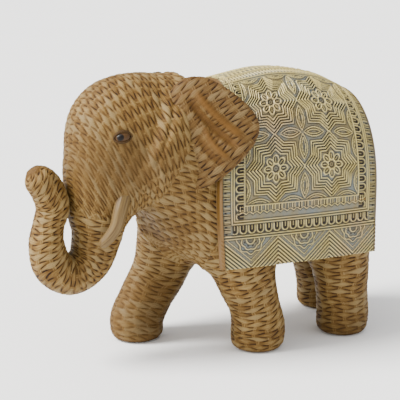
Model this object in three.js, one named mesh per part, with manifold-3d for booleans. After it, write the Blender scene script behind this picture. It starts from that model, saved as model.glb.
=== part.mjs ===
// A standing elephant figurine with a raised, curled trunk and an embossed saddle blanket.
// Millimetres, +Z up. The elephant faces -X, and its left side is towards -Y.
// The origin is on the ground, midway along and across the figure.
//
// The figure comes apart as it is moulded: the torso has sockets that take the plug ends of the
// head, the four legs and the tail; the ears, tusks and eyes sit in pockets of the head; the
// blanket is a shell over the back; and each foot stands on a felt pad.
import * as THREE from "three";
import { mergeVertices } from "three/addons/utils/BufferGeometryUtils.js";
import Module from "manifold-3d";

const GLUE_GAP = 0.3; // left all round between two pieces that are glued together
const PAD_THICKNESS = 1.2;
const PAD_RADIUS = 13;
const FOOT_FLOOR = PAD_THICKNESS + GLUE_GAP; // height of a leg's flat sole
const LEG_SPREAD = 29.5; // from the middle of the figure to the middle of a leg
const BLANKET_THICKNESS = 4.2;
const BLANKET_HEM = 65; // height of the blanket's lower edge at the front
const HEM_RISE = -0.025; // how much the hem climbs for each millimetre towards the rump
const FRONT_SWEEP = 20; // how far the blanket's front edge runs back from its hem to the spine
const EAR_THICKNESS = 4.6;

const BARK = 0xb98a55;
const FOLD = 0xa9773f;
const IVORY = 0xc9a46f;
const GILT = 0xb7ad86;
const EYE = 0x2a1c14;
const FELT = 0x3d332a;

// A section is [x, z, front, back, side, y]. x, z and y are its middle, y being 0 if it is left
// out. The skin lies front millimetres from the middle towards the top or front of the limb,
// back millimetres towards its underside or rear, and side millimetres to each side.
const TORSO = [
  [128.5, 110, 6, 6, 6],
  [124, 111, 27, 29, 26],
  [112, 114, 42, 44, 39],
  [90, 118, 53, 56, 46],
  [62, 120, 62, 64, 48.5],
  [28, 120, 62, 66, 49],
  [-4, 122, 58, 60, 45],
  [-28, 129, 52, 40, 38],
  [-46, 137, 45, 24, 31],
  [-56, 140, 30, 13, 22],
];
const CRANIUM = [
  [-16, 139, 38, 36, 26],
  [-36, 145, 45, 42, 34],
  [-57, 149, 43.5, 38, 36.5],
  [-70, 150, 38.5, 34, 34],
  [-80, 150, 29, 28, 28],
  [-88, 149, 12, 12, 12],
];
const FACE = [
  [-67, 175, 13, 12, 18],
  [-74, 161, 21, 20, 29],
  [-79, 142, 19.8, 20, 32.5],
  [-82, 122, 18.8, 20, 26],
  [-83, 100, 16.5, 18, 20],
  [-81, 83, 15, 16, 17],
  [-84, 72, 12, 12, 12],
];
const TRUNK = [
  [-83, 100, 15, 16, 17],
  [-81, 85, 15, 16.5, 17],
  [-87, 70, 13.5, 14.8, 15],
  [-100.5, 62.5, 12, 13.5, 14],
  [-113, 70, 11.8, 13.2, 13.2],
  [-117, 84, 11, 12.3, 12.5],
  [-114, 97, 9.6, 11.5, 11.5],
  [-111, 108, 11.5, 10.5, 11],
  [-115, 119, 11.5, 9.5, 11],
  [-121, 127.5, 9.5, 9, 10],
  [-125, 132.5, 4, 4, 4.5],
];
const JAW = [
  [-36, 140, 14, 14, 20],
  [-47, 125, 17, 17, 21],
  [-57, 111, 13, 13, 14],
  [-62, 103, 9.5, 9.5, 9],
  [-65, 97.5, 4, 4, 4],
];

// A leg leaves the body at hip, bends at knee and ends in a foot; each is a position along the
// figure. lean moves the front of the thigh back, and shin is the front radius above the foot.
// Walking, the right legs reach apart and the left legs draw together.
const LEGS = {
  leg_front_left: { hip: 5, knee: 15.5, foot: 26, side: -1, lean: 3, shin: 15.5 },
  leg_front_right: { hip: -6, knee: -19, foot: -37.5, side: 1, lean: 4, shin: 18 },
  leg_rear_left: { hip: 89, knee: 95, foot: 98, side: -1, lean: 0, shin: 18 },
  leg_rear_right: { hip: 102, knee: 114, foot: 121, side: 1, lean: 0, shin: 18 },
};

// The blanket's arch: [x, height of the spine, half width, height where its sides hang straight].
const BLANKET = [
  [-14, 183.5, 50.5, 112],
  [12, 187, 53, 112],
  [45, 189.8, 54, 112],
  [75, 187, 53, 112],
  [97, 180.5, 50, 110],
  [110, 172, 45.5, 106],
  [117, 165, 41.5, 102],
];

// The ear lies in a plane that leans away from the head. An outline point is [out, up] in that
// plane, from the ear's root.
const EAR_ROOT = [-40, -34, 151];
const EAR_YAW = THREE.MathUtils.degToRad(25);
const EAR_PITCH = THREE.MathUtils.degToRad(5.5);
const EAR_OUTLINE = [
  [-4, 12], [-1, 28], [9, 36.5], [21, 37], [32, 31.5], [43, 22.5], [52, 11], [54, 2],
  [50, -7], [41, -16], [29, -25], [16, -32], [5, -32], [-3, -20], [-5, -4],
];
const TUSK = [[-70, -22, 122], [-74, -26, 115], [-78, -28, 106], [-81, -27.5, 97.5],
  [-86, -25.5, 90.5], [-91.5, -23, 84.5]];
const TUSK_RADIUS = 4.8;
const EYE_AT = { at: [-75.5, -31, 155], size: [5, 3, 3.2] };
const TAIL = [
  [118, 146, 4, 4, 4.5],
  [128, 140, 4, 4, 4.5],
  [132.5, 127, 3.6, 3.6, 4],
  [134.3, 108, 3.2, 3.2, 3.6],
  [134, 90, 3.2, 3.2, 3.6],
  [131.5, 76, 4.2, 4.2, 5],
  [129, 64, 3.6, 3.6, 4.4],
  [128, 57, 1, 1, 1.5],
];

const wasm = await Module();
wasm.setup();

/** A closed three.js geometry as a solid. A mirrored shape comes out inside out, and is turned. */
function solid(geometry) {
  const bare = new THREE.BufferGeometry().setAttribute("position", geometry.getAttribute("position"));
  const merged = mergeVertices(geometry.index ? bare.setIndex(geometry.index) : bare, 1e-4);
  const corners = merged.index.array;
  const triangles = [];
  for (let i = 0; i < corners.length; i += 3) {
    const [a, b, c] = corners.subarray(i, i + 3);
    if (a !== b && b !== c && c !== a) triangles.push(a, b, c);
  }
  const vertProperties = merged.getAttribute("position").array;
  const made = (triVerts) =>
    new wasm.Manifold(new wasm.Mesh({ numProp: 3, vertProperties, triVerts: new Uint32Array(triVerts) }));
  const first = made(triangles);
  return first.volume() > 0 ? first : made(triangles.reverse());
}

/** The largest of a solid's bodies, without the slivers that a cut can leave. */
function largest(body) {
  return body.decompose().sort((a, b) => b.volume() - a.volume())[0];
}

/** A closed skin through rings of points: ring(row) gives one ring, and fans close both ends. */
function skin(rows, ring) {
  const rings = Array.from({ length: rows + 1 }, (_, row) => ring(row / rows));
  const around = rings[0].length;
  const middle = (points) =>
    points.reduce((sum, p) => sum.add(p), new THREE.Vector3()).divideScalar(points.length);
  const points = [...rings.flat(), middle(rings[0].map((p) => p.clone())),
    middle(rings[rows].map((p) => p.clone()))];
  const [start, end] = [points.length - 2, points.length - 1];
  const index = [];
  for (let i = 0; i < around; i++) {
    const next = (i + 1) % around;
    for (let row = 0; row < rows; row++) {
      const [a, b] = [row * around + i, row * around + next];
      index.push(a, b, b + around, a, b + around, a + around);
    }
    index.push(start, next, i, end, rows * around + i, rows * around + next);
  }
  return new THREE.BufferGeometry().setFromPoints(points).setIndex(index);
}

/** A limb: superellipse sections along a smooth path. grow adds to every radius. */
function limb(sections, { grow = 0, rows, around, power = 2 }) {
  const smooth = (points) => new THREE.CatmullRomCurve3(points, false, "catmullrom", 0.5);
  const path = smooth(sections.map(([x, z, , , , y = 0]) => new THREE.Vector3(x, y, z)));
  const girth = smooth(sections.map(([, , front, back, side]) => new THREE.Vector3(front, back, side)));
  const rounded = (c) => Math.sign(c) * Math.abs(c) ** (2 / power);
  return skin(rows, (t) => {
    const [along, size] = [path.getTangent(t), girth.getPoint(t)];
    const at = path.getPoint(t).addScaledVector(along, t === 0 ? -grow : t === 1 ? grow : 0);
    return Array.from({ length: around }, (_, i) => {
      const angle = (2 * Math.PI * i) / around;
      const [c, s] = [rounded(Math.cos(angle)), rounded(Math.sin(angle))];
      const reach = (c > 0 ? size.x : size.y) + grow;
      return new THREE.Vector3(at.x + along.z * c * reach, at.y + s * (size.z + grow),
        at.z - along.x * c * reach);
    });
  });
}

/** An ellipsoid at a place, of three half sizes. */
function ellipsoid({ at, size }, side = 1, grow = 0) {
  return solid(new THREE.SphereGeometry(1, 16, 12)
    .scale(...size.map((s) => s + grow))
    .translate(at[0], at[1] * side, at[2]));
}

/** The torso before its sockets are cut. */
function torsoBody(grow = 0) {
  return solid(limb(TORSO, { grow, rows: 22, around: 32, power: 2.2 }));
}

/** The head with its trunk: the face tapers into the trunk, which curls forward and up. */
function headBody(grow = 0) {
  return solid(limb(CRANIUM, { grow, rows: 12, around: 28 }))
    .add(solid(limb(FACE, { grow, rows: 14, around: 24 })))
    .add(solid(limb(TRUNK, { grow, rows: 26, around: 16 })))
    .add(solid(limb(JAW, { grow, rows: 8, around: 16 })));
}

/** One leg, from the plug end inside the body down to a sole with a rounded edge. */
function legBody({ hip, knee, foot, side, lean, shin }, grow = 0) {
  const y = side * LEG_SPREAD;
  const ankle = knee + 0.6 * (foot - knee);
  const sections = [
    [hip, 106, 22 - lean, 22, 16, y * 0.82],
    [(hip + knee) / 2, 80, 25 - lean, 25, 19.5, y * 0.94],
    [knee, 50, 20.5 - lean / 2, 21.5, 18.8, y],
    [ankle, 30, shin, 19, 17.5, y],
    [foot, 15, 18.5, 19, 17.8, y],
    [foot, 7, 18.2, 18.4, 17.3, y],
    [foot, FOOT_FLOOR + 1.5 - grow, 16.5, 16.5, 15.8, y],
    [foot, FOOT_FLOOR - grow, 14, 14, 13.5, y],
  ];
  return solid(limb(sections, { grow, rows: 16, around: 20 }));
}

/** The tail, from its plug end in the rump to the tuft. */
function tailBody(grow = 0) {
  return solid(limb(TAIL, { grow, rows: 16, around: 10 }));
}

/** One tusk: a tapering round bar along a curve, with its root inside the cheek. */
function tuskBody(side, grow = 0) {
  const path = new THREE.CatmullRomCurve3(TUSK.map(([x, y, z]) => new THREE.Vector3(x, -side * y, z)));
  const across = new THREE.Vector3(0, 1, 0);
  return solid(skin(10, (t) => {
    const along = path.getTangent(t);
    const up = new THREE.Vector3().crossVectors(across, along).normalize();
    const out = new THREE.Vector3().crossVectors(along, up);
    const radius = TUSK_RADIUS * (1 - 0.72 * t ** 2.5) + grow;
    return Array.from({ length: 12 }, (_, i) => {
      const angle = (Math.PI * i) / 6;
      return path.getPoint(t).addScaledVector(up, radius * Math.cos(angle))
        .addScaledVector(out, radius * Math.sin(angle));
    });
  }));
}

/** How far the ear's middle surface stands off its plane, towards the viewer of its outer face. */
function earBow(out, up) {
  const tuck = -9 * Math.exp(-(out + 5) / 4.5);
  const crown = up > 0 ? -10 * (up / 36) ** 2 : 0;
  const lap = 7 * Math.sin(Math.PI * THREE.MathUtils.clamp((out - 4) / 56, 0, 1))
    * THREE.MathUtils.smoothstep(-up, -8, 14);
  const fold = 1.7 * Math.cos((2 * Math.PI * ((out + up) / Math.SQRT2 - 30.5)) / 14.5)
    * THREE.MathUtils.smoothstep(out, 6, 18);
  return tuck + crown + lap + fold;
}

/** One ear: rings from the middle of its outer face, round the rim and back. */
function earBody(side, grow = 0) {
  const outline = new THREE.CatmullRomCurve3(
    EAR_OUTLINE.map(([out, up]) => new THREE.Vector3(out, up, 0)), true, "catmullrom", 0.5);
  const lean = new THREE.Euler(0, -EAR_PITCH, -EAR_YAW, "ZYX");
  const [e1, e2, e3] = [[1, 0, 0], [0, 0, 1], [0, -1, 0]].map((v) => new THREE.Vector3(...v).applyEuler(lean));
  const [heart, around, rows] = [new THREE.Vector3(22, 2, 0), 30, 10];
  const rim = outline.getPoints(around).slice(0, around);
  return solid(skin(rows, (t) => {
    const turn = Math.PI * (0.04 + 0.92 * t);
    const spread = Math.sin(turn) ** 0.6;
    const rise = Math.cos(turn) * (EAR_THICKNESS / 2 + grow) * 1.15;
    return rim.map((p) => {
      const q = p.clone().sub(heart);
      q.multiplyScalar(spread * (1 + grow / q.length())).add(heart);
      const made = new THREE.Vector3(...EAR_ROOT).addScaledVector(e1, q.x).addScaledVector(e2, q.y)
        .addScaledVector(e3, earBow(q.x, q.y) + THREE.MathUtils.clamp(rise, -EAR_THICKNESS, EAR_THICKNESS));
      made.y *= -side;
      return made;
    });
  }));
}

/** An arch swept along the back: a rounded top, straight sides and a flat bottom at foot. */
function arch(inset, foot, overrun) {
  const stations = new THREE.CatmullRomCurve3(
    BLANKET.map(([x, top, half]) => new THREE.Vector3(x, top - inset, half - inset)), false, "catmullrom", 0.5);
  const springs = new THREE.CatmullRomCurve3(
    BLANKET.map(([x, , , spring]) => new THREE.Vector3(x, spring, 0)), false, "catmullrom", 0.5);
  const bends = 22;
  return solid(skin(16, (t) => {
    const { x, y: top, z: half } = stations.getPoint(t);
    const spring = springs.getPoint(t).y;
    const shift = t === 0 ? -overrun : t === 1 ? overrun : 0;
    const hem = foot + HEM_RISE * (x - BLANKET[0][0]);
    const curve = Array.from({ length: bends + 1 }, (_, i) => {
      const angle = Math.PI * (1 - i / bends);
      const lift = Math.sin(angle) ** (2 / 2.25);
      const reach = Math.sign(Math.cos(angle)) * Math.abs(Math.cos(angle)) ** (2 / 2.25);
      const z = spring + (top - spring) * lift;
      const sweep = FRONT_SWEEP * (1 - t) ** 2 * ((z - hem) / (top - hem)) ** 2;
      return new THREE.Vector3(x + shift + sweep, half * reach, z);
    });
    return [new THREE.Vector3(x + shift, -half, hem), ...curve, new THREE.Vector3(x + shift, half, hem)];
  }));
}

const legs = Object.entries(LEGS).map(([name, pose]) => ({ name, body: legBody(pose), room: legBody(pose, GLUE_GAP) }));
const sides = [{ word: "left", side: -1 }, { word: "right", side: 1 }];

const head = { body: headBody(), room: headBody(GLUE_GAP) };
for (const { side } of sides) {
  head.body = head.body
    .subtract(earBody(side, GLUE_GAP))
    .subtract(tuskBody(side, GLUE_GAP))
    .subtract(ellipsoid(EYE_AT, -side, GLUE_GAP));
}
const tail = tailBody();
let torso = torsoBody().subtract(head.room).subtract(tailBody(GLUE_GAP));
for (const { room } of legs) torso = torso.subtract(room);
for (const { side } of sides) torso = torso.subtract(earBody(side, GLUE_GAP));

let blanket = arch(0, BLANKET_HEM, 0).subtract(arch(BLANKET_THICKNESS, BLANKET_HEM - 20, 5));
blanket = blanket.subtract(torsoBody(GLUE_GAP)).subtract(head.room).subtract(tailBody(GLUE_GAP));
for (const { room } of legs) blanket = blanket.subtract(room);
for (const { side } of sides) blanket = blanket.subtract(earBody(side, GLUE_GAP));

const elephant = new THREE.Group();
const figure = new THREE.Group();
elephant.add(figure);

/** Adds a named mesh of a solid's largest body. */
function place(name, body, color, roughness = 0.75, metalness = 0) {
  const { vertProperties, triVerts } = largest(body).getMesh();
  const geometry = new THREE.BufferGeometry()
    .setAttribute("position", new THREE.BufferAttribute(vertProperties, 3))
    .setIndex(new THREE.BufferAttribute(triVerts, 1));
  const mesh = new THREE.Mesh(geometry, new THREE.MeshStandardMaterial({ color, roughness, metalness }));
  mesh.name = name;
  figure.add(mesh);
}

place("torso", torso, BARK);
place("head_with_trunk", head.body, BARK);
place("saddle_blanket", blanket, GILT, 0.4, 0.5);
place("tail", tail, BARK);
for (const { word, side } of sides) {
  place(`ear_${word}`, earBody(side), FOLD);
  place(`tusk_${word}`, tuskBody(side), IVORY, 0.5);
  place(`eye_${word}`, ellipsoid(EYE_AT, -side), EYE, 0.2);
}
for (const { name, body } of legs) {
  place(name, body, BARK);
  const { foot, side } = LEGS[name];
  const pad = new THREE.CylinderGeometry(PAD_RADIUS, PAD_RADIUS, PAD_THICKNESS, 28)
    .rotateX(Math.PI / 2)
    .translate(foot, side * LEG_SPREAD, PAD_THICKNESS / 2);
  place(name.replace("leg", "felt_pad"), solid(pad), FELT, 1);
}

figure.position.x = -new THREE.Box3().setFromObject(figure).getCenter(new THREE.Vector3()).x;

export default elephant;
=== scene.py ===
"""A standing elephant figurine in cast resin that imitates split-cane weaving.

The skin is a set of surfaces swept along smooth paths. A woven relief is pressed out of each of
them, and the saddle blanket is an embossed shell over the back. Lengths are millimetres in the
figure's own frame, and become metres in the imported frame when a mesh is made.
"""

import logging
import math
from dataclasses import dataclass, field
from enum import Enum

import bpy
import numpy as np
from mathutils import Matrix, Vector


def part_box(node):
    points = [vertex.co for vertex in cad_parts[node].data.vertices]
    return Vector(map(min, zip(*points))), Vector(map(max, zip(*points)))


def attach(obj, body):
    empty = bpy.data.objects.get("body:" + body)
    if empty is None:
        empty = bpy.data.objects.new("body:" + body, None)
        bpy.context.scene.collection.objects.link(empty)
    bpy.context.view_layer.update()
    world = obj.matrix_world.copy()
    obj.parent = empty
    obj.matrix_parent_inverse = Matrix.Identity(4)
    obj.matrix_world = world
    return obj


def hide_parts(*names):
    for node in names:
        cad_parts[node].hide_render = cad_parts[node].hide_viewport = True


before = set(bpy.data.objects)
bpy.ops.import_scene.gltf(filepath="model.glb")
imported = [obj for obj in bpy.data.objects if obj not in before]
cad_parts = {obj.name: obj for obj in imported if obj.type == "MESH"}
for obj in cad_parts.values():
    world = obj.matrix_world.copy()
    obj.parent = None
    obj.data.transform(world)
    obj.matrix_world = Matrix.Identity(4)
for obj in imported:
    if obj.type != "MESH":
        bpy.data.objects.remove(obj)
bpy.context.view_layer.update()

log = logging.getLogger("elephant")

Colour = tuple[float, float, float]
Socket = bpy.types.NodeSocket

MM = 0.001
BODY = "root"
PAD_IN_FIGURE = np.array([26.0, -29.5, 0.0])  # the front left pad's middle in the figure's frame
PATH_STEPS = 3000  # samples of a path when its length is measured
SKIN_STEPS = 600  # samples of a skin when lengths are measured on it
ELLIPSOIDS = 44  # ellipsoids that stand for a limb when the distance to it is estimated


def figure_origin() -> np.ndarray:
    """Finds the figure frame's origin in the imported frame, in metres, from the front left pad.

    Returns:
        The offset that is added to a figure point after it is scaled to metres.
    """
    low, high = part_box("felt_pad_front_left")
    middle = np.array([(low.x + high.x) / 2, (low.y + high.y) / 2, low.z])
    return middle - PAD_IN_FIGURE * MM


ORIGIN = figure_origin()


class Side(Enum):
    """A side of the figure, valued as the sign of its Y."""

    LEFT = -1
    RIGHT = 1

    @property
    def word(self) -> str:
        """The side's name as it stands in piece names."""
        return self.name.lower()


# ---------------------------------------------------------------- shapes as arrays


def smoothstep(x: np.ndarray, low: float, high: float) -> np.ndarray:
    """Goes smoothly from 0 at low to 1 at high, as 3f^2 - 2f^3."""
    f = np.clip((x - low) / (high - low), 0.0, 1.0)
    return f * f * (3.0 - 2.0 * f)


def ridge(distance: np.ndarray, half: float) -> np.ndarray:
    """Gives a rounded ridge: half a cosine wave, 1 on its crest and 0 from half away."""
    return 0.5 + 0.5 * np.cos(np.pi * np.clip(np.abs(distance) / half, 0.0, 1.0))


def hashed(a: np.ndarray, b: np.ndarray, seed: float) -> np.ndarray:
    """Gives each pair of whole numbers its own fraction: frac(43758.5 sin(12.99a + 78.23b + seed))."""
    return np.modf(np.abs(np.sin(a * 12.9898 + b * 78.233 + seed) * 43758.5453))[0]


def spline(knots: np.ndarray, t: np.ndarray) -> tuple[np.ndarray, np.ndarray]:
    """Carries a uniform Catmull-Rom curve through knots.

    Each span is the cubic whose slope at a knot is half the step between its neighbours; beyond
    an end the next knot is mirrored in the last one.

    Args:
        knots: Points, one a row.
        t: Places along the curve, 0 at the first knot and 1 at the last.

    Returns:
        The points and the slopes at t.
    """
    spans = len(knots) - 1
    full = np.vstack([2 * knots[0] - knots[1], knots, 2 * knots[-1] - knots[-2]])
    x = np.clip(t, 0.0, 1.0) * spans
    i = np.minimum(x.astype(int), spans - 1)
    f = (x - i)[:, None]
    p0, p1, p2, p3 = full[i], full[i + 1], full[i + 2], full[i + 3]
    square, cube = 2 * p0 - 5 * p1 + 4 * p2 - p3, 3 * p1 - p0 - 3 * p2 + p3
    return (
        0.5 * (2 * p1 + (p2 - p0) * f + square * f**2 + cube * f**3),
        0.5 * ((p2 - p0) + 2 * square * f + 3 * cube * f**2),
    )


def unit(v: np.ndarray) -> np.ndarray:
    """Scales vectors to length 1."""
    return v / np.maximum(np.linalg.norm(v, axis=-1, keepdims=True), 1e-9)


def grid_normals(points: np.ndarray, wrap: bool) -> np.ndarray:
    """Gives the normals of a grid: the cross product of its two directions' central differences.

    Args:
        points: The grid, rows by columns by 3.
        wrap: Whether the last column meets the first.

    Returns:
        Unit normals, in the grid's own shape.
    """
    down = np.gradient(points, axis=0)
    if wrap:
        across = (np.roll(points, -1, axis=1) - np.roll(points, 1, axis=1)) / 2
    else:
        across = np.gradient(points, axis=1)
    return unit(np.cross(across, down))


@dataclass(frozen=True)
class Limb:
    """A limb with superellipse sections carried along a smooth path.

    Attributes:
        sections: (x, z, front, back, side, y) a row: the section's middle, and its reach towards
            the limb's top or front, towards its underside, and to each side.
        power: The superellipse's power; 2 is an ellipse.
    """

    sections: tuple[tuple[float, ...], ...]
    power: float = 2.0

    def table(self) -> np.ndarray:
        """The sections as an array, with y filled in as 0 where it is left out."""
        return np.array([(*row, 0.0)[:6] for row in self.sections])

    def path(self, t: np.ndarray) -> tuple[np.ndarray, np.ndarray, np.ndarray]:
        """Finds the path and how far the sections reach from it.

        Args:
            t: Places along the path, from 0 to 1.

        Returns:
            The middles, the path's unit directions, and the reaches (front, back, side).
        """
        table = self.table()
        middle, slope = spline(table[:, [0, 5, 1]], t)
        return middle, unit(slope), np.maximum(spline(table[:, 2:5], t)[0], 0.05)

    def steps(self) -> tuple[np.ndarray, np.ndarray]:
        """Samples the path finely: each sample's t, and the lengths of the steps between them."""
        t = np.linspace(0.0, 1.0, PATH_STEPS)
        return t, np.linalg.norm(np.diff(self.path(t)[0], axis=0), axis=1)

    def stations(self, count: int, start: float = 0.0, end: float = 1.0) -> np.ndarray:
        """Spaces places evenly by length.

        Args:
            count: How many places there are.
            start: Where the first one is, as a fraction of the path's length.
            end: Where the last one is.

        Returns:
            The places' values of t.
        """
        t, steps = self.steps()
        run = np.append(0.0, np.cumsum(steps))
        return np.interp(np.linspace(start, end, count) * run[-1], run, t)

    def length(self) -> float:
        """The path's length."""
        return float(self.steps()[1].sum())

    def surface(self, t: np.ndarray, angle: np.ndarray) -> np.ndarray:
        """Finds the skin: middle + front direction * cos-like reach + Y * sin-like reach.

        The cosine and sine of angle are raised to 2/power with their signs kept, which makes the
        section a superellipse. Angle 0 is the limb's top or front, and a quarter turn is +Y.

        Args:
            t: Places along the path, one for each row.
            angle: Angles round the section, one for each column.

        Returns:
            Rows by columns by 3.
        """
        middle, along, reach = self.path(t)
        front = np.stack([along[:, 2], np.zeros(len(t)), -along[:, 0]], axis=1)
        c, s = (np.sign(k) * np.abs(k) ** (2 / self.power) for k in (np.cos(angle), np.sin(angle)))
        out = np.where(c > 0, reach[:, 0:1], reach[:, 1:2]) * c
        side = np.array([0.0, 1.0, 0.0])
        return middle[:, None] + front[:, None] * out[..., None] + side * (reach[:, 2:3] * s)[..., None]

    def clearance(self, points: np.ndarray) -> np.ndarray:
        """Estimates how far points lie outside the limb.

        The limb is taken as a row of ellipsoids on its path, each reaching 0.4 of its least
        reach along it. For each, the distance is the scaled radius less 1, times the mean
        reach, and the least one counts.

        Args:
            points: Points of a grid, with x, y and z last.

        Returns:
            The distances, negative inside the limb.
        """
        middle, along, reach = self.path(self.stations(ELLIPSOIDS))
        front = np.stack([along[:, 2], np.zeros(len(along)), -along[:, 0]], axis=1)
        best = np.full(points.shape[:-1], 1e3, np.float32)
        for m, a, f, r in zip(middle, along, front, reach):
            q = (points - m).astype(np.float32)
            out = q @ f
            scaled = np.sqrt(
                (out / np.where(out > 0, r[0], r[1])) ** 2
                + (q[..., 1] / r[2]) ** 2
                + (q @ a / (0.4 * min(r))) ** 2
            )
            best = np.minimum(best, (scaled - 1.0) * r.mean())
        return best


def blended(
    points: np.ndarray, neighbours: list[Limb], width: float, wrap: bool = True
) -> tuple[np.ndarray, np.ndarray]:
    """Swells a surface into a smooth fillet where it meets its neighbours.

    Where a neighbour is b away, the surface moves out by (sqrt(width) - sqrt(b))^2 for b from a
    quarter of width to width, which is the fillet of two walls at a right angle. Nearer than
    that it holds its height, and inside the neighbour it sinks twice as fast as it goes in, to
    3 mm at most. It counts as hidden from a tenth of width inside.

    Args:
        points: The surface's grid.
        neighbours: The limbs that it meets.
        width: How far from a neighbour the fillet starts.
        wrap: Whether the last column meets the first.

    Returns:
        The moved grid, and a mask that is 0 where the surface is hidden and 1 where it shows.
    """
    hold = width / 4
    raised = np.zeros(points.shape[:-1])
    sunk = np.full(points.shape[:-1], hold)
    shown = np.ones(points.shape[:-1])
    for limb in neighbours:
        b = limb.clearance(points)
        near = np.clip(b, hold, width)
        raised = np.maximum(raised, (math.sqrt(width) - np.sqrt(near)) ** 2)
        sunk = np.minimum(sunk, np.clip(hold + 2 * b, -3.0, hold))
        shown = shown * smoothstep(b, -0.1 * width, 0.06 * width)
    return points + outward(points, wrap) * np.minimum(raised, sunk)[..., None], shown


def outward(points: np.ndarray, wrap: bool) -> np.ndarray:
    """Gives a grid's normals, turned to point away from the grid's middle line.

    Args:
        points: The grid, rows by columns by 3.
        wrap: Whether the last column meets the first.

    Returns:
        Unit normals, in the grid's own shape.
    """
    normals = grid_normals(points, wrap)
    away = points - points.mean(axis=1, keepdims=True)
    return normals * np.sign((normals * away).sum(axis=-1).mean())


@dataclass(frozen=True)
class Weave:
    """Plain weaving: thin strands pass over one stake and under the next.

    Attributes:
        relief: How far a strand's crest stands above the ground.
        swell: How much thicker a strand is over a stake than beside it, as a part of half a row.
        seed: Start of the wobble and of the strands' tones.
        lead: Which end of a strand stands clear of the gap behind it: 1 or -1 along u.
    """

    relief: float = 1.0
    swell: float = 0.19
    seed: float = 1.0
    lead: int = -1

    def press(self, u: np.ndarray, v: np.ndarray, period: float = 0.0) -> tuple[np.ndarray, np.ndarray]:
        """Works out the height and the tone of the weave.

        Row r is thick where cos(pi (u + r)) is 1 and thin where it is -1, and between the two
        its half width runs nearly straight, so that the rows' edges make a zigzag. The highest
        of three rows and the stakes counts at each place. A strand's leading end is outlined by
        a deep hook-shaped gap.

        Args:
            u: Place along the strands, counted in stakes.
            v: Place across the strands, counted in rows.
            period: The number of stakes after which the pattern repeats, or 0.

        Returns:
            Heights from 0 to 1, and a tone for each strand from 0 to 1.
        """
        height = np.zeros(np.broadcast(u, v).shape)
        tone, hook = np.zeros_like(height), np.zeros_like(height)
        for step in (-1, 0, 1):
            row = np.floor(v) + step
            wave = np.cos(np.pi * (u + row))
            over = 0.45 * wave + 0.55 * (2 / np.pi) * np.arcsin(np.clip(wave, -1, 1))
            strand = np.floor((u + row) / 2 + 0.5)
            ahead = (u + row - 2 * strand) * self.lead
            if period:
                strand = np.mod(strand, period / 2)
            shade = hashed(strand, row, self.seed)
            half = 0.5 + self.swell * over + 0.06 * (shade - 0.5)
            body = self.strand(v - row, half, wave, shade)
            tone = np.where(body > height, shade, tone)
            height = np.maximum(height, body)
            tip = smoothstep(ahead, 0.22, 0.5) * smoothstep(-ahead, -0.92, -0.8)
            gap = ridge(np.abs(v - row - 0.5) - half - 0.01, 0.25)
            hook = np.maximum(hook, gap * tip * (0.76 + 0.24 * shade))
        height = np.maximum(height, self.stake(u, v))
        return height * (1.0 - 0.92 * hook), tone

    @staticmethod
    def strand(across: np.ndarray, half: np.ndarray, wave: np.ndarray, shade: np.ndarray) -> np.ndarray:
        """Shapes a strand: a flat-topped profile with fine grooves, times its rise over a stake.

        Args:
            across: Place across the strand's row, from 0 to 1.
            half: Half the strand's width.
            wave: 1 over a stake and -1 under one.
            shade: The strand's tone; a light one stands a little higher.

        Returns:
            Heights from 0 to 1.
        """
        off = np.abs(across - 0.5)
        rise = (0.6 + 0.4 * (0.5 + 0.5 * wave)) * (0.84 + 0.22 * shade)
        body = np.clip(1.0 - (off / (half * 1.1)) ** 3.4, 0.0, 1.0) ** 0.5 * rise
        body = body * (0.91 + 0.09 * np.cos(across * 15.0 + 6.0 * shade))
        return body * (1.0 - 0.16 * ridge(off / half - 0.42, 0.13))

    @staticmethod
    def stake(u: np.ndarray, v: np.ndarray) -> np.ndarray:
        """Shapes the stakes: a low bar with two ribs, which shows where a strand dips under it.

        Args:
            u: Place along the strands, counted in stakes.
            v: Place across the strands, counted in rows.

        Returns:
            Heights from 0 to 1.
        """
        nearest = np.round(u)
        beside = np.abs(u - nearest)
        over_row = 2 * np.abs((v - 0.5 + nearest) / 2 - np.round((v - 0.5 + nearest) / 2))
        bar = 0.5 * smoothstep(-beside, -0.19, -0.13) + 0.38 * ridge(beside - 0.08, 0.06)
        return bar * smoothstep(over_row, 0.5, 0.72)


# ---------------------------------------------------------------- meshes


def index_grid(rows: int, columns: int, wrap: bool) -> np.ndarray:
    """Lists the quads of a grid of vertices.

    Args:
        rows: Rows of vertices.
        columns: Vertices in a row.
        wrap: Whether the last column meets the first.

    Returns:
        Four indices a row.
    """
    r = np.arange(rows - 1)[:, None]
    c = np.arange(columns if wrap else columns - 1)[None, :]
    following = (c + 1) % columns
    upper, lower = r * columns, (r + 1) * columns
    corners = [upper + c, upper + following, lower + following, lower + c]
    return np.stack(corners, axis=-1).reshape(-1, 4)


def signed_volume(points: np.ndarray, triangles: np.ndarray) -> float:
    """Adds up the tetrahedra from the mesh's middle: positive when the faces point outwards."""
    a, b, c = (points[triangles[:, k]] - points.mean(axis=0) for k in range(3))
    return float((a * np.cross(b, c)).sum() / 6)


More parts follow.
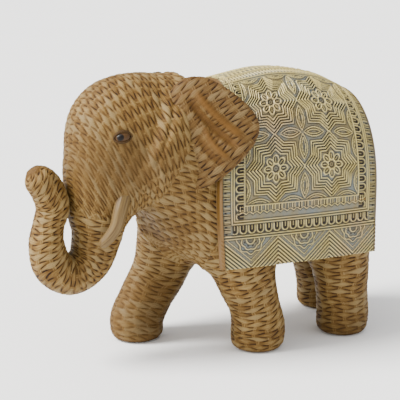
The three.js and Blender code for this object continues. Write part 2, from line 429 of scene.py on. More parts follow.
def make_piece(
    name: str,
    points: np.ndarray,
    quads: np.ndarray,
    triangles: np.ndarray,
    attributes: dict[str, np.ndarray],
    uv: np.ndarray | None = None,
) -> bpy.types.Object:
    """Makes a closed, smooth, outward-facing piece from arrays.

    Args:
        name: The piece's name.
        points: Figure points, in millimetres.
        quads: Four indices a row.
        triangles: Three indices a row.
        attributes: One value for each point, by name.
        uv: Two values for each point, or None.

    Returns:
        The piece, which rides on the root body.
    """
    both = np.vstack([quads[:, [0, 1, 2]], quads[:, [0, 2, 3]], triangles])
    if signed_volume(points, both) < 0:
        quads, triangles = quads[:, ::-1], triangles[:, ::-1]
    mesh = bpy.data.meshes.new(name)
    loops = np.concatenate([quads.ravel(), triangles.ravel()]).astype(np.int32)
    starts = np.concatenate(
        [np.arange(len(quads)) * 4, len(quads) * 4 + np.arange(len(triangles)) * 3]
    ).astype(np.int32)
    mesh.vertices.add(len(points))
    mesh.vertices.foreach_set("co", (points * MM + ORIGIN).astype(np.float32).ravel())
    mesh.loops.add(len(loops))
    mesh.loops.foreach_set("vertex_index", loops)
    mesh.polygons.add(len(starts))
    mesh.polygons.foreach_set("loop_start", starts)
    mesh.update(calc_edges=True)
    mesh.polygons.foreach_set("use_smooth", np.ones(len(starts), bool))
    for key, values in attributes.items():
        layer = mesh.attributes.new(key, "FLOAT", "POINT")
        layer.data.foreach_set("value", np.asarray(values, np.float32).ravel())
    if uv is not None:
        layer = mesh.uv_layers.new(name="strand")
        layer.data.foreach_set("uv", uv[loops].astype(np.float32).ravel())
    mesh.update()
    piece = bpy.data.objects.new(name, mesh)
    bpy.context.scene.collection.objects.link(piece)
    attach(piece, BODY)
    log.info("%s: %d points, %d faces", name, len(points), len(starts))
    return piece


def tube_piece(
    name: str,
    points: np.ndarray,
    attributes: dict[str, np.ndarray],
    uv: np.ndarray | None = None,
) -> bpy.types.Object:
    """Makes a closed piece from a grid whose columns run round it, with a fan over each end.

    Args:
        name: The piece's name.
        points: Rows by columns by 3.
        attributes: One value for each grid point, by name.
        uv: Rows by columns by 2, or None.

    Returns:
        The piece.
    """
    rows, columns = points.shape[:2]
    count = rows * columns
    ends = np.stack([points[0].mean(axis=0), points[-1].mean(axis=0)])
    ring = np.arange(columns)
    following = (ring + 1) % columns
    last = (rows - 1) * columns
    fans = np.vstack(
        [
            np.stack([np.full(columns, count), following, ring], axis=1),
            np.stack([np.full(columns, count + 1), last + ring, last + following], axis=1),
        ]
    )
    return make_piece(
        name,
        np.vstack([points.reshape(-1, 3), ends]),
        index_grid(rows, columns, True),
        fans,
        {k: np.append(v.ravel(), [v[0].mean(), v[-1].mean()]) for k, v in attributes.items()},
        None if uv is None else np.vstack([uv.reshape(-1, 2), uv[0, :1], uv[-1, :1]]),
    )


def chain_strip(fine: np.ndarray, coarse: np.ndarray) -> np.ndarray:
    """Zips a fine chain of vertices to a coarse one that runs beside it.

    Every step of the fine chain makes a triangle with the coarse vertex beside it, and every
    change of that vertex makes one more.

    Args:
        fine: The fine chain's indices.
        coarse: The coarse chain's indices.

    Returns:
        Triangles, three indices a row.
    """
    beside = np.floor(np.arange(len(fine)) * (len(coarse) - 1) / (len(fine) - 1) + 1e-6).astype(int)
    steps = np.stack([fine[:-1], fine[1:], coarse[beside[:-1]]], axis=1)
    changed = np.flatnonzero(beside[1:] != beside[:-1])
    turns = np.stack([fine[changed + 1], coarse[beside[changed + 1]], coarse[beside[changed]]], axis=1)
    return np.vstack([steps, turns])


def shell_piece(
    name: str,
    outer: np.ndarray,
    inner: np.ndarray,
    attributes: dict[str, np.ndarray],
    uv: np.ndarray,
) -> bpy.types.Object:
    """Makes a closed shell from a fine outer grid and a coarse inner grid over the same patch.

    Args:
        name: The piece's name.
        outer: The outer face, rows by columns by 3.
        inner: The inner face, with fewer rows and columns.
        attributes: One value for each outer point, by name; the inner face takes 0.
        uv: Rows by columns by 2, for the outer face.

    Returns:
        The piece.
    """
    fine = np.arange(outer.shape[0] * outer.shape[1]).reshape(outer.shape[:2])
    coarse = fine.size + np.arange(inner.shape[0] * inner.shape[1]).reshape(inner.shape[:2])
    back = index_grid(*inner.shape[:2], False)[:, ::-1] + fine.size
    walls = [
        chain_strip(fine[0], coarse[0]),
        chain_strip(fine[-1], coarse[-1])[:, ::-1],
        chain_strip(fine[:, 0], coarse[:, 0])[:, ::-1],
        chain_strip(fine[:, -1], coarse[:, -1]),
    ]
    return make_piece(
        name,
        np.vstack([outer.reshape(-1, 3), inner.reshape(-1, 3)]),
        np.vstack([index_grid(*outer.shape[:2], False), back]),
        np.vstack(walls),
        {k: np.append(v.ravel(), np.zeros(coarse.size)) for k, v in attributes.items()},
        np.vstack([uv.reshape(-1, 2), np.zeros((coarse.size, 2))]),
    )


# ---------------------------------------------------------------- finishes


class Coordinates(Enum):
    """What a pattern follows, valued as Texture Coordinate's output."""

    STRAND_UV = 2
    OBJECT = 3


class Nodes:
    """Adds nodes to a new material, each call returning the node's output."""

    ATTRIBUTE_NUMBER = 2  # the Attribute node's output as a number
    MIX_COLOURS = (6, 7)  # the Mix node's two colour inputs
    MIX_RESULT = 2

    def __init__(self, name: str) -> None:
        """Makes a material that holds a Principled shader and its output.

        Args:
            name: The material's name.
        """
        self.material = bpy.data.materials.new(name)
        self.material.use_nodes = True
        self.tree = self.material.node_tree
        self.shader = self.tree.nodes["Principled BSDF"]

    def link(self, source: object, target: Socket) -> None:
        """Feeds a socket.

        Args:
            source: An output to link, or a plain value to set.
            target: The input that takes it.
        """
        if isinstance(source, Socket):
            self.tree.links.new(source, target)
        else:
            target.default_value = source

    def add(self, kind: str, inputs: dict[object, object], output: int = 0, **settings: object) -> Socket:
        """Adds a node.

        Args:
            kind: The node's type name.
            inputs: Sockets or values for its inputs, by name or number.
            output: Which output to return.
            **settings: The node's own properties.

        Returns:
            The output socket.
        """
        node = self.tree.nodes.new(kind)
        for key, value in settings.items():
            setattr(node, key, value)
        for key, value in inputs.items():
            self.link(value, node.inputs[key])
        return node.outputs[output]

    def attribute(self, name: str) -> Socket:
        """Reads a piece's own attribute as a number."""
        return self.add("ShaderNodeAttribute", {}, self.ATTRIBUTE_NUMBER, attribute_name=name)

    def math(self, operation: str, a: object, b: object = 0.0, clamp: bool = False) -> Socket:
        """Adds a Math node."""
        return self.add("ShaderNodeMath", {0: a, 1: b}, operation=operation, use_clamp=clamp)

    def gained(self, value: object, level: float, gain: float, clamp: bool = False) -> Socket:
        """Gives (value - level) * gain."""
        return self.math("MULTIPLY", self.math("SUBTRACT", value, level), gain, clamp)

    def noise(self, vector: object, scale: float, detail: float = 2.0, roughness: float = 0.5) -> Socket:
        """Adds a Noise Texture and returns its number."""
        inputs = {"Vector": vector, "Scale": scale, "Detail": detail, "Roughness": roughness}
        return self.add("ShaderNodeTexNoise", inputs)

    def stretched(self, vector: object, scale: tuple[float, float, float]) -> Socket:
        """Scales a vector by three numbers."""
        return self.add("ShaderNodeMapping", {"Vector": vector, "Scale": scale})

    def place(self, coordinates: Coordinates) -> Socket:
        """Gives the piece's UV map or its Object coordinates."""
        return self.add("ShaderNodeTexCoord", {}, coordinates.value)

    def ramp(self, factor: object, stops: list[tuple[float, Colour]]) -> Socket:
        """Adds a Color Ramp.

        Args:
            factor: The number that picks the colour.
            stops: (place, colour), in order.

        Returns:
            The colour.
        """
        node = self.tree.nodes.new("ShaderNodeValToRGB")
        bands = node.color_ramp.elements
        for _ in range(len(stops) - 2):
            bands.new(0.5)
        for band, (at, colour) in zip(bands, stops):
            band.position = at
            band.color = (*colour, 1.0)
        self.link(factor, node.inputs[0])
        return node.outputs[0]

    def mix(self, factor: object, a: object, b: object) -> Socket:
        """Mixes two colours.

        Args:
            factor: How much of b there is, held between 0 and 1.
            a: The first colour, or a socket.
            b: The second.

        Returns:
            The mixed colour.
        """
        node = self.tree.nodes.new("ShaderNodeMix")
        node.data_type = "RGBA"
        node.clamp_factor = True
        self.link(factor, node.inputs[0])
        for value, number in zip((a, b), self.MIX_COLOURS):
            self.link((*value, 1.0) if isinstance(value, tuple) else value, node.inputs[number])
        return node.outputs[self.MIX_RESULT]

    def finish(
        self,
        colour: object,
        roughness: object,
        bump: object = None,
        depth: float = 0.0,
        strength: float = 0.0,
    ) -> bpy.types.Material:
        """Wires the shader.

        Args:
            colour: The base colour.
            roughness: The roughness.
            bump: A height for fine grain, or None.
            depth: The grain's depth in metres.
            strength: How much of the grain counts.

        Returns:
            The material.
        """
        self.link(colour, self.shader.inputs["Base Color"])
        self.link(roughness, self.shader.inputs["Roughness"])
        if bump is not None:
            normal = self.add("ShaderNodeBump", {"Height": bump, "Distance": depth, "Strength": strength})
            self.link(normal, self.shader.inputs["Normal"])
        return self.material


@dataclass(frozen=True)
class CanePaint:
    """Paint over the woven relief: dark in the recesses, tan on the strands, pale on the crests.

    Attributes:
        name: The material's name.
        recess: Colour of the wash that stays in the gaps.
        shade: Colour between a gap and a strand.
        strand: Colour of a strand.
        crest: Colour rubbed on the highest places.
        warm: Colour of patches where the wash pooled.
        weathered: Greyish colour of the lightest strands.
    """

    name: str
    recess: Colour = (0.008, 0.003, 0.0008)
    shade: Colour = (0.078, 0.035, 0.0045)
    strand: Colour = (0.127, 0.068, 0.0137)
    crest: Colour = (0.235, 0.155, 0.054)
    # warm: Colour of patches where the wash pooled, and of painted shade on the cheeks.
    warm: Colour = (0.074, 0.037, 0.0065)
    weathered: Colour = (0.13, 0.099, 0.052)

    def material(self) -> bpy.types.Material:
        """Builds the material: fibres run along U, and patches follow Object coordinates.

        Returns:
            The material, which picks its colour by the relief, fibre, speckle and tone together.
        """
        n = Nodes(self.name)
        relief, tone, warmth = (n.attribute(k) for k in ("relief", "tone", "warm"))
        at = n.place(Coordinates.OBJECT)
        fibre = n.noise(n.stretched(n.place(Coordinates.STRAND_UV), (0.15, 2.0, 1.0)), 1.0, 4.0, 0.66)
        patches = n.noise(at, 46.0, 3.0, 0.6)
        speckle = n.noise(at, 900.0, 2.0, 0.6)
        height = n.math("ADD", relief, n.gained(fibre, 0.5, 0.85))
        height = n.math("ADD", height, n.gained(speckle, 0.5, 0.22))
        height = n.math("ADD", height, n.gained(tone, 0.5, 0.2), True)
        colour = n.ramp(
            height,
            [(0.16, self.recess), (0.39, self.shade), (0.61, self.strand), (0.95, self.crest)],
        )
        pooled = n.math("MULTIPLY", n.gained(patches, 0.47, 4.0, True), 0.5)
        # The warm attribute mixes in the same colour; on the head's cheeks it is painted shade.
        colour = n.mix(n.math("MAXIMUM", pooled, warmth), colour, n.mix(0.82, colour, self.warm))
        grey = n.gained(tone, 0.6, 0.9, True)
        colour = n.mix(n.math("MULTIPLY", grey, height), colour, self.weathered)
        roughness = n.math("SUBTRACT", 0.82, n.math("MULTIPLY", height, 0.24))
        n.shader.inputs["Specular IOR Level"].default_value = 0.2
        return n.finish(colour, roughness, fibre, 0.0003, 0.55)


@dataclass(frozen=True)
class Gilding:
    """Rubbed gold on the raised lines, silver-grey between them and brown in the recesses.

    Attributes:
        name: The material's name.
        silver: Colour of the ground.
        champagne: Colour of warmer stretches of the ground.
        gold: Colour of the rubbed lines.
        rose: Colour of warmer stretches of the lines.
        recess: Colour in the grooves.
        edge: Colour of the shell's cut edge.
    """

    name: str = "blanket_gilding"
    silver: Colour = (0.1, 0.118, 0.114)
    champagne: Colour = (0.14, 0.108, 0.042)
    gold: Colour = (0.72, 0.58, 0.2)
    rose: Colour = (0.7, 0.48, 0.25)
    recess: Colour = (0.012, 0.006, 0.0015)
    edge: Colour = (0.12, 0.058, 0.0065)

    def material(self) -> bpy.types.Material:
        """Builds the material from the blanket's attributes and noise on Object coordinates.

        Returns:
            The material.
        """
        n = Nodes(self.name)
        gilt, dirt, rim = (n.attribute(k) for k in ("gilt", "dirt", "rim"))
        at = n.place(Coordinates.OBJECT)
        drift, cloud = n.noise(at, 60.0, 3.0, 0.6), n.noise(at, 21.0, 2.0, 0.5)
        grain = n.noise(at, 1400.0, 2.0, 0.6)
        ground = n.mix(n.gained(drift, 0.38, 4.0, True), self.champagne, self.silver)
        leaf = n.mix(n.gained(cloud, 0.5, 4.0, True), self.gold, self.rose)
        worn = n.math("ADD", gilt, n.gained(grain, 0.5, 0.5), True)
        colour = n.mix(n.math("MULTIPLY", worn, 0.92), ground, leaf)
        colour = n.mix(n.math("MULTIPLY", dirt, 1.25, True), colour, self.recess)
        colour = n.mix(rim, colour, self.edge)
        n.shader.inputs["Metallic"].default_value = 0.25
        roughness = n.math("ADD", n.math("MULTIPLY", dirt, 0.25), n.math("MULTIPLY", grain, 0.25))
        return n.finish(colour, n.math("ADD", roughness, 0.33), grain, 0.00012, 0.35)


@dataclass(frozen=True)
class TuskPaint:
    """Smooth tan paint with streaks along the tusk and a dark root.

    Attributes:
        name: The material's name.
        pale: Colour of most of the tusk.
        streak: Colour of the streaks.
        root: Colour of the darker band round the root.
    """

    name: str = "tusk_paint"
    pale: Colour = (0.132, 0.083, 0.025)
    streak: Colour = (0.065, 0.032, 0.009)
    root: Colour = (0.03, 0.013, 0.004)

    def material(self) -> bpy.types.Material:
        """Builds the material: V runs round the tusk, so noise stretched along U makes streaks.

        Returns:
            The material.
        """
        n = Nodes(self.name)
        streak = n.noise(n.stretched(n.place(Coordinates.STRAND_UV), (0.06, 1.1, 1.0)), 1.0, 3.0, 0.6)
        colour = n.mix(n.gained(streak, 0.42, 4.0, True), self.pale, self.streak)
        colour = n.mix(n.attribute("root"), colour, self.root)
        n.shader.inputs["Specular IOR Level"].default_value = 0.3
        roughness = n.math("ADD", 0.36, n.math("MULTIPLY", streak, 0.3))
        return n.finish(colour, roughness, streak, 0.0002, 0.4)


@dataclass(frozen=True)
class EyePaint:
    """A dark pupil on a brown eye, under a little gloss.

    Attributes:
        name: The material's name.
        pupil: Colour of the pupil.
        iris: Colour of the eye's dark streaks.
        fleck: Colour of its light ones.
    """

    name: str = "eye_paint"
    pupil: Colour = (0.004, 0.003, 0.003)
    iris: Colour = (0.035, 0.016, 0.005)
    fleck: Colour = (0.065, 0.032, 0.011)

    def material(self) -> bpy.types.Material:
        """Builds the material from the eye's pupil attribute and fine noise.

        Returns:
            The material.
        """
        n = Nodes(self.name)
        cloud = n.noise(n.place(Coordinates.OBJECT), 700.0, 2.0, 0.6)
        colour = n.mix(n.attribute("pupil"), n.mix(cloud, self.iris, self.fleck), self.pupil)
        n.shader.inputs["Specular IOR Level"].default_value = 0.16
        return n.finish(colour, n.math("ADD", 0.34, n.math("MULTIPLY", cloud, 0.1)), cloud, 0.0001, 0.2)


@dataclass(frozen=True)
class Felt:
    """Dark pressed felt.

    Attributes:
        name: The material's name.
        shadow: Colour between the fibres.
        fibre: Colour of the fibres.
    """

    name: str = "felt"
    shadow: Colour = (0.03, 0.024, 0.018)
    fibre: Colour = (0.09, 0.072, 0.055)

    def material(self) -> bpy.types.Material:
        """Builds the material from fine noise on Object coordinates.

        Returns:
            The material.
        """
        n = Nodes(self.name)
        fuzz = n.noise(n.place(Coordinates.OBJECT), 2600.0, 4.0, 0.7)
        colour = n.ramp(fuzz, [(0.3, self.shadow), (0.7, self.fibre)])
        n.shader.inputs["Sheen Weight"].default_value = 0.4
        return n.finish(colour, 0.95, fuzz, 0.0004, 0.8)


# ---------------------------------------------------------------- the animal

LEG_SPREAD = 29.5  # from the middle plane to a leg's middle


def leg_limb(hip: float, knee: float, foot: float, side: Side, lean: float, shin: float) -> Limb:
    """Shapes one leg, from inside the body to the sole.

    Args:
        hip: Where the leg leaves the body, along the figure.
        knee: Where its middle is.
        foot: Where its foot stands.
        side: Which side it is on.
        lean: How much the front of the thigh is drawn back.
        shin: The front reach above the foot.

    Returns:
        The leg's shape.
    """
    y = side.value * LEG_SPREAD
    ankle = knee + 0.6 * (foot - knee)
    return Limb(
        (
            (hip, 106, 22 - lean, 22, 16, y * 0.82),
            ((hip + knee) / 2, 80, 25 - lean, 25, 19.5, y * 0.94),
            (knee, 50, 20.5 - lean / 2, 21.5, 18.8, y),
            (ankle, 30, shin, 19, 17.5, y),
            (foot, 15, 18.5, 19, 17.8, y),
            (foot, 7, 18.4, 18.6, 17.6, y),
            (foot, 3, 17.4, 17.4, 16.8, y),
            (foot, 1.2, 15.8, 15.8, 15.4, y),
        )
    )


TORSO = Limb(
    (
        (129.5, 112, 5, 6, 6),
        (126, 113, 20, 28, 20),
        (117, 115, 36, 45, 32),
        (103, 117, 56.5, 56, 45.5),
        (88, 118, 61, 60, 47.5),
        (62, 120, 63, 64, 48.5),
        (28, 120, 62.5, 66, 49),
        (-4, 122, 58.5, 61.5, 45.5),
        (-28, 129, 52, 38.5, 39),
        (-46, 137, 44, 20, 34.5),
        (-56, 142, 31, 11, 27),
    ),
    power=2.2,
)
HEAD = Limb(
    (
        (-8, 147, 27, 34, 24),
        (-34, 143, 50, 37, 35.5),
        (-54, 133, 57, 26, 36.5),
        (-68, 118, 39, 20, 31),
        (-77, 100, 24.5, 17, 22.5),
        (-81, 85, 16.5, 16, 17),
        (-87, 70, 13.5, 14.8, 15),
        (-99.8, 62.5, 12, 13.5, 14),
        (-111.5, 70, 12.2, 13.2, 13.4),
        (-115.7, 84, 11.3, 11.4, 12.8),
        (-113.8, 97, 9.3, 10, 11.6),
        (-111, 108, 10.8, 10.5, 11.2),
        (-114.5, 119, 11.5, 10, 11),
        (-120, 128.5, 9.5, 9.5, 10),
        (-123.5, 134, 4.5, 5, 4.5),
    )
)
JAW = Limb(
    (
        (-36, 138, 14, 14, 20),
        (-47, 124, 17, 17, 21),
        (-56, 111, 13, 13, 14),
        (-61.5, 103, 9.5, 9.5, 9),
        (-64.5, 97.5, 4, 4, 4),
    )
)
TAIL = Limb(
    (
        (118, 146, 4, 4, 4.5),
        (128, 140, 4, 4, 4.5),
        (132.5, 127, 3.6, 3.6, 4),
        (134.3, 108, 3.2, 3.2, 3.6),
        (134, 90, 3.2, 3.2, 3.6),
        (131.5, 76, 4.2, 4.2, 5),
        (129, 64, 3.6, 3.6, 4.4),
        (128, 57, 1, 1, 1.5),
    )
)
LEGS = {
    "leg_front_left": leg_limb(5, 15.5, 26, Side.LEFT, 3, 15.5),
    "leg_front_right": leg_limb(-6, -19, -37.5, Side.RIGHT, 4, 18),
    "leg_rear_left": leg_limb(89, 95, 98, Side.LEFT, 0, 18),
    "leg_rear_right": leg_limb(102, 114, 121, Side.RIGHT, 0, 18),
}

# Darker patches low on two legs: the middle in x and z, and the reach in each.
DARK_PATCHES = {
    "leg_front_right": (-34.0, 18.0, 40.0, 42.0),
    "leg_rear_left": (98.0, -20.0, 30.0, 40.0),
}
# The head's stakes, fewer as the trunk narrows: a fraction of its length, and the number from there.
STAKES = ((0.0, 34), (0.3, 22), (0.405, 14), (0.62, 10))


@dataclass
class WovenLimb:
    """A limb whose strands run round it in rings.

    Attributes:
        name: The piece's name.
        nodes: The CAD nodes that it stands for.
        limb: Its shape.
        row: A strand's height.
        stakes: (fraction of the path's length, stakes round it from there on); even numbers.
        neighbours: The limbs that it grows out of.
        span: The part of the path's length that the piece covers.
        grid: Rows and columns of the mesh.
        weave: The relief.
        fillet: Where the blend with a neighbour starts.
        end: Length at the far end over which the relief dies away.
        even: How far the rows keep their height on the outside of a bend: 0 to 1.
        level: The fraction of the path's length where the rows lie square to the path.
        wash: (x, z, reach in x, reach in z) of a darker patch on both sides, or None.
    """

    name: str
    nodes: tuple[str, ...]
    limb: Limb
    row: float
    stakes: tuple[tuple[float, int], ...]
    neighbours: list[Limb] = field(default_factory=list)
    span: tuple[float, float] = (0.0, 1.0)
    grid: tuple[int, int] = (300, 200)
    weave: Weave = Weave()
    fillet: float = 14.0
    end: float = 3.0
    even: float = 0.0
    level: float = 0.2
    wash: tuple[float, float, float, float] | None = None

    def counted(self, s: np.ndarray, a: np.ndarray) -> np.ndarray:
        """Counts rows: by length along the path, mixed with length on the skin.

        Args:
            s: Lengths along the path, as a column.
            a: Angles round the limb, as a row.

        Returns:
            A count for each grid point, 0 where the rows lie square to the path.
        """
        skin = self.limb.surface(self.limb.stations(SKIN_STEPS), a.ravel())
        steps = np.linalg.norm(np.diff(skin, axis=0), axis=-1)
        run = np.vstack([np.zeros(a.size), np.cumsum(steps, axis=0)])
        path = np.linspace(0, 1, SKIN_STEPS) * self.limb.length()
        zero = self.level * self.limb.length()
        columns = [np.interp(s.ravel(), path, c) - np.interp(zero, path, c) for c in run.T]
        on_skin = np.stack(columns, axis=1)
        return ((1 - self.even) * (s - zero) + self.even * on_skin) / self.row

    def pressed(self, s: np.ndarray, a: np.ndarray, v: np.ndarray) -> tuple[np.ndarray, np.ndarray]:
        """Presses the weave, changing over within 2 mm wherever the number of stakes changes.

        Args:
            s: Lengths along the path, as a column.
            a: Angles round the limb, as a row.
            v: The count of rows at each grid point.

        Returns:
            Heights from 0 to 1, and tones from 0 to 1.
        """
        beyond = 1e6  # past the end of any limb
        starts = [f * self.limb.length() for f, _ in self.stakes] + [beyond]
        height, tone = np.zeros_like(v), np.zeros_like(v)
        seed = self.weave.seed
        for k, (_, count) in enumerate(self.stakes):
            u = a * (count / (2 * np.pi)) + 0.22 * np.sin(s * 0.11 + a + seed) + 0.12 * np.sin(s * 0.31 - a)
            h, shade = self.weave.press(u, v, count)
            here = smoothstep(s, starts[k] - 1.0, starts[k] + 1.0) if k else np.ones_like(s)
            here = here * smoothstep(-s, -starts[k + 1] - 1.0, -starts[k + 1] + 1.0)
            height, tone = height + h * here, tone + shade * here
        return height, tone

    def darkened(self, skin: np.ndarray) -> np.ndarray:
        """Lays the darker patch, which thins out as a bell curve. On the cheeks it is painted shade.

        Args:
            skin: The grid, rows by columns by 3.

        Returns:
            How much wash there is at each grid point, from 0 to 1.
        """
        if self.wash is None:
            return np.zeros(skin.shape[:2])
        x, z, wide, tall = self.wash
        return np.exp(-(((skin[..., 0] - x) / wide) ** 2) - ((skin[..., 2] - z) / tall) ** 2)

    def build(self, paint: bpy.types.Material) -> bpy.types.Object:
        """Builds and dresses the piece.

        The stakes are counted by angle round the limb. The rows and the stakes both have a slow
        wobble of a few sine waves that close on themselves round the limb.

        Args:
            paint: The paint over the weave.

        Returns:
            The piece.
        """
        rows, columns = self.grid
        t = self.limb.stations(rows, *self.span)
        angle = np.arange(columns) * (2 * np.pi / columns)
        skin = self.limb.surface(t, angle)
        shown = np.ones((rows, columns))
        if self.neighbours:
            skin, shown = blended(skin, self.neighbours, self.fillet)
        run = np.linspace(*self.span, rows) * self.limb.length()
        s, a = run[:, None], angle[None, :]
        seed = self.weave.seed
        sway = 0.3 * np.sin(2 * a + s * 0.06 + seed) + 0.16 * np.sin(5 * a - s * 0.11 + 2 * seed)
        v = self.counted(s, a) + sway
        height, tone = self.pressed(s, a, v)
        fade = smoothstep(-s, -s[-1, 0], -s[-1, 0] + self.end) if self.end else 1.0
        level = 0.5 + (height - 0.5) * shown * fade
        skin = skin + outward(skin, True) * ((level - 0.5) * self.weave.relief)[..., None]
        reach = self.limb.path(t)[2].mean(axis=1)[:, None]
        uv = np.stack([a * reach, v * self.row], axis=-1)
        attributes = {"relief": level, "tone": tone, "warm": self.darkened(skin)}
        piece = tube_piece(self.name, skin, attributes, uv)
        piece.data.materials.append(paint)
        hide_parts(*self.nodes)
        return piece


@dataclass
class WovenTorso:
    """A stretch of the torso, whose strands run lengthways and slope down towards the rump.

    Attributes:
        name: The piece's name.
        span: The part of the torso's length that it covers.
        grid: Rows and columns of the mesh.
        row: A strand's height.
        stake: The distance between stakes.
        slope: The strands' slope on the flanks.
        weave: The relief.
        fillet: Where the blend with a leg starts.
        nape: How much wider the blend with the head is.
        ends: Where the chest and the rump begin and where they are full, as places along x.
        counts: The stakes' start on the chest and on the rump, which lets both meet the flanks.
    """

    name: str
    span: tuple[float, float]
    grid: tuple[int, int]
    row: float = 3.1
    stake: float = 7.8
    slope: float = math.radians(21)
    weave: Weave = Weave(seed=4.0)
    fillet: float = 20.0
    nape: float = 1.3
    ends: tuple[float, float, float, float] = (-12.0, -34.0, 92.0, 114.0)
    counts: tuple[float, float] = (157.0, 69.6)

    def down(self, bare: np.ndarray) -> np.ndarray:
        """Measures down each section on the skin.

        Args:
            bare: The grid, whose first column lies beside the spine.

        Returns:
            The length from the section's widest point, positive below it, the same on each side.
        """
        columns = bare.shape[1]
        steps = np.diff(bare[:, : columns // 2], axis=1, prepend=bare[:, -1:])
        half = np.cumsum(np.linalg.norm(steps, axis=-1), axis=1)
        half = half - half[:, columns // 4 : columns // 4 + 1]
        return np.concatenate([half, half[:, ::-1]], axis=1)

    def build(self, paint: bpy.types.Material) -> bpy.types.Object:
        """Builds and dresses the piece.

        Rows are counted down each section by length on the skin, from its widest point. That
        point's own count is its height above a plane that slopes down towards the rump. On the
        chest and the rump, which face along the path, the rows are cut by such planes alone, and
        the stakes are counted by x and |y|.

        Args:
            paint: The paint over the weave.

        Returns:
            The piece.
        """
        rows, columns = self.grid
        t = TORSO.stations(rows, *self.span)
        angle = (np.arange(columns) + 0.5) * (2 * np.pi / columns)
        bare = TORSO.surface(t, angle)
        middle = TORSO.path(t)[0]
        down = self.down(bare)
        skin, shown = blended(bare, list(LEGS.values()), self.fillet)
        skin, beside_head = blended(skin, [HEAD], self.nape * self.fillet)
        shown = shown * beside_head
        s = (np.linspace(*self.span, rows) * TORSO.length())[:, None]
        cosine, sine = math.cos(self.slope), math.sin(self.slope)
        drop = -(middle[:, 2:] * cosine + middle[:, :1] * sine)
        sway = 0.3 * np.sin(0.05 * down + 0.09 * s) + 0.25 * np.sin(0.11 * down - 0.05 * s + 2)
        x, y, z = skin[..., 0], np.abs(skin[..., 1]), skin[..., 2]
        chest_from, chest_full, rump_from, rump_full = self.ends
        front = smoothstep(-x, -chest_from, -chest_full)
        rear = smoothstep(x, rump_from, rump_full)
        below = -(z * cosine + x * sine) - drop
        v = (drop + down + (1.08 * below - down) * (front + rear)) / self.row + sway
        up = z - 120.0
        side = s * cosine + 0.25 * down
        chest = self.counts[0] - 0.78 * (x + y) - 0.2 * up
        rump = self.counts[1] - 0.78 * (x - y) - 0.2 * up
        u = (side + (chest - side) * front + (rump - side) * rear) / self.stake
        u = u + 0.25 * np.sin(0.12 * up + 1.0)
        height, tone = self.weave.press(u, v)
        level = 0.5 + (height - 0.5) * shown
        skin = skin + outward(skin, True) * ((level - 0.5) * self.weave.relief)[..., None]
        uv = np.stack([u * self.stake, v * self.row], axis=-1)
        piece = tube_piece(self.name, skin, {"relief": level, "tone": tone, "warm": 0.4 * front}, uv)
        piece.data.materials.append(paint)
        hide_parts("torso")
        return piece


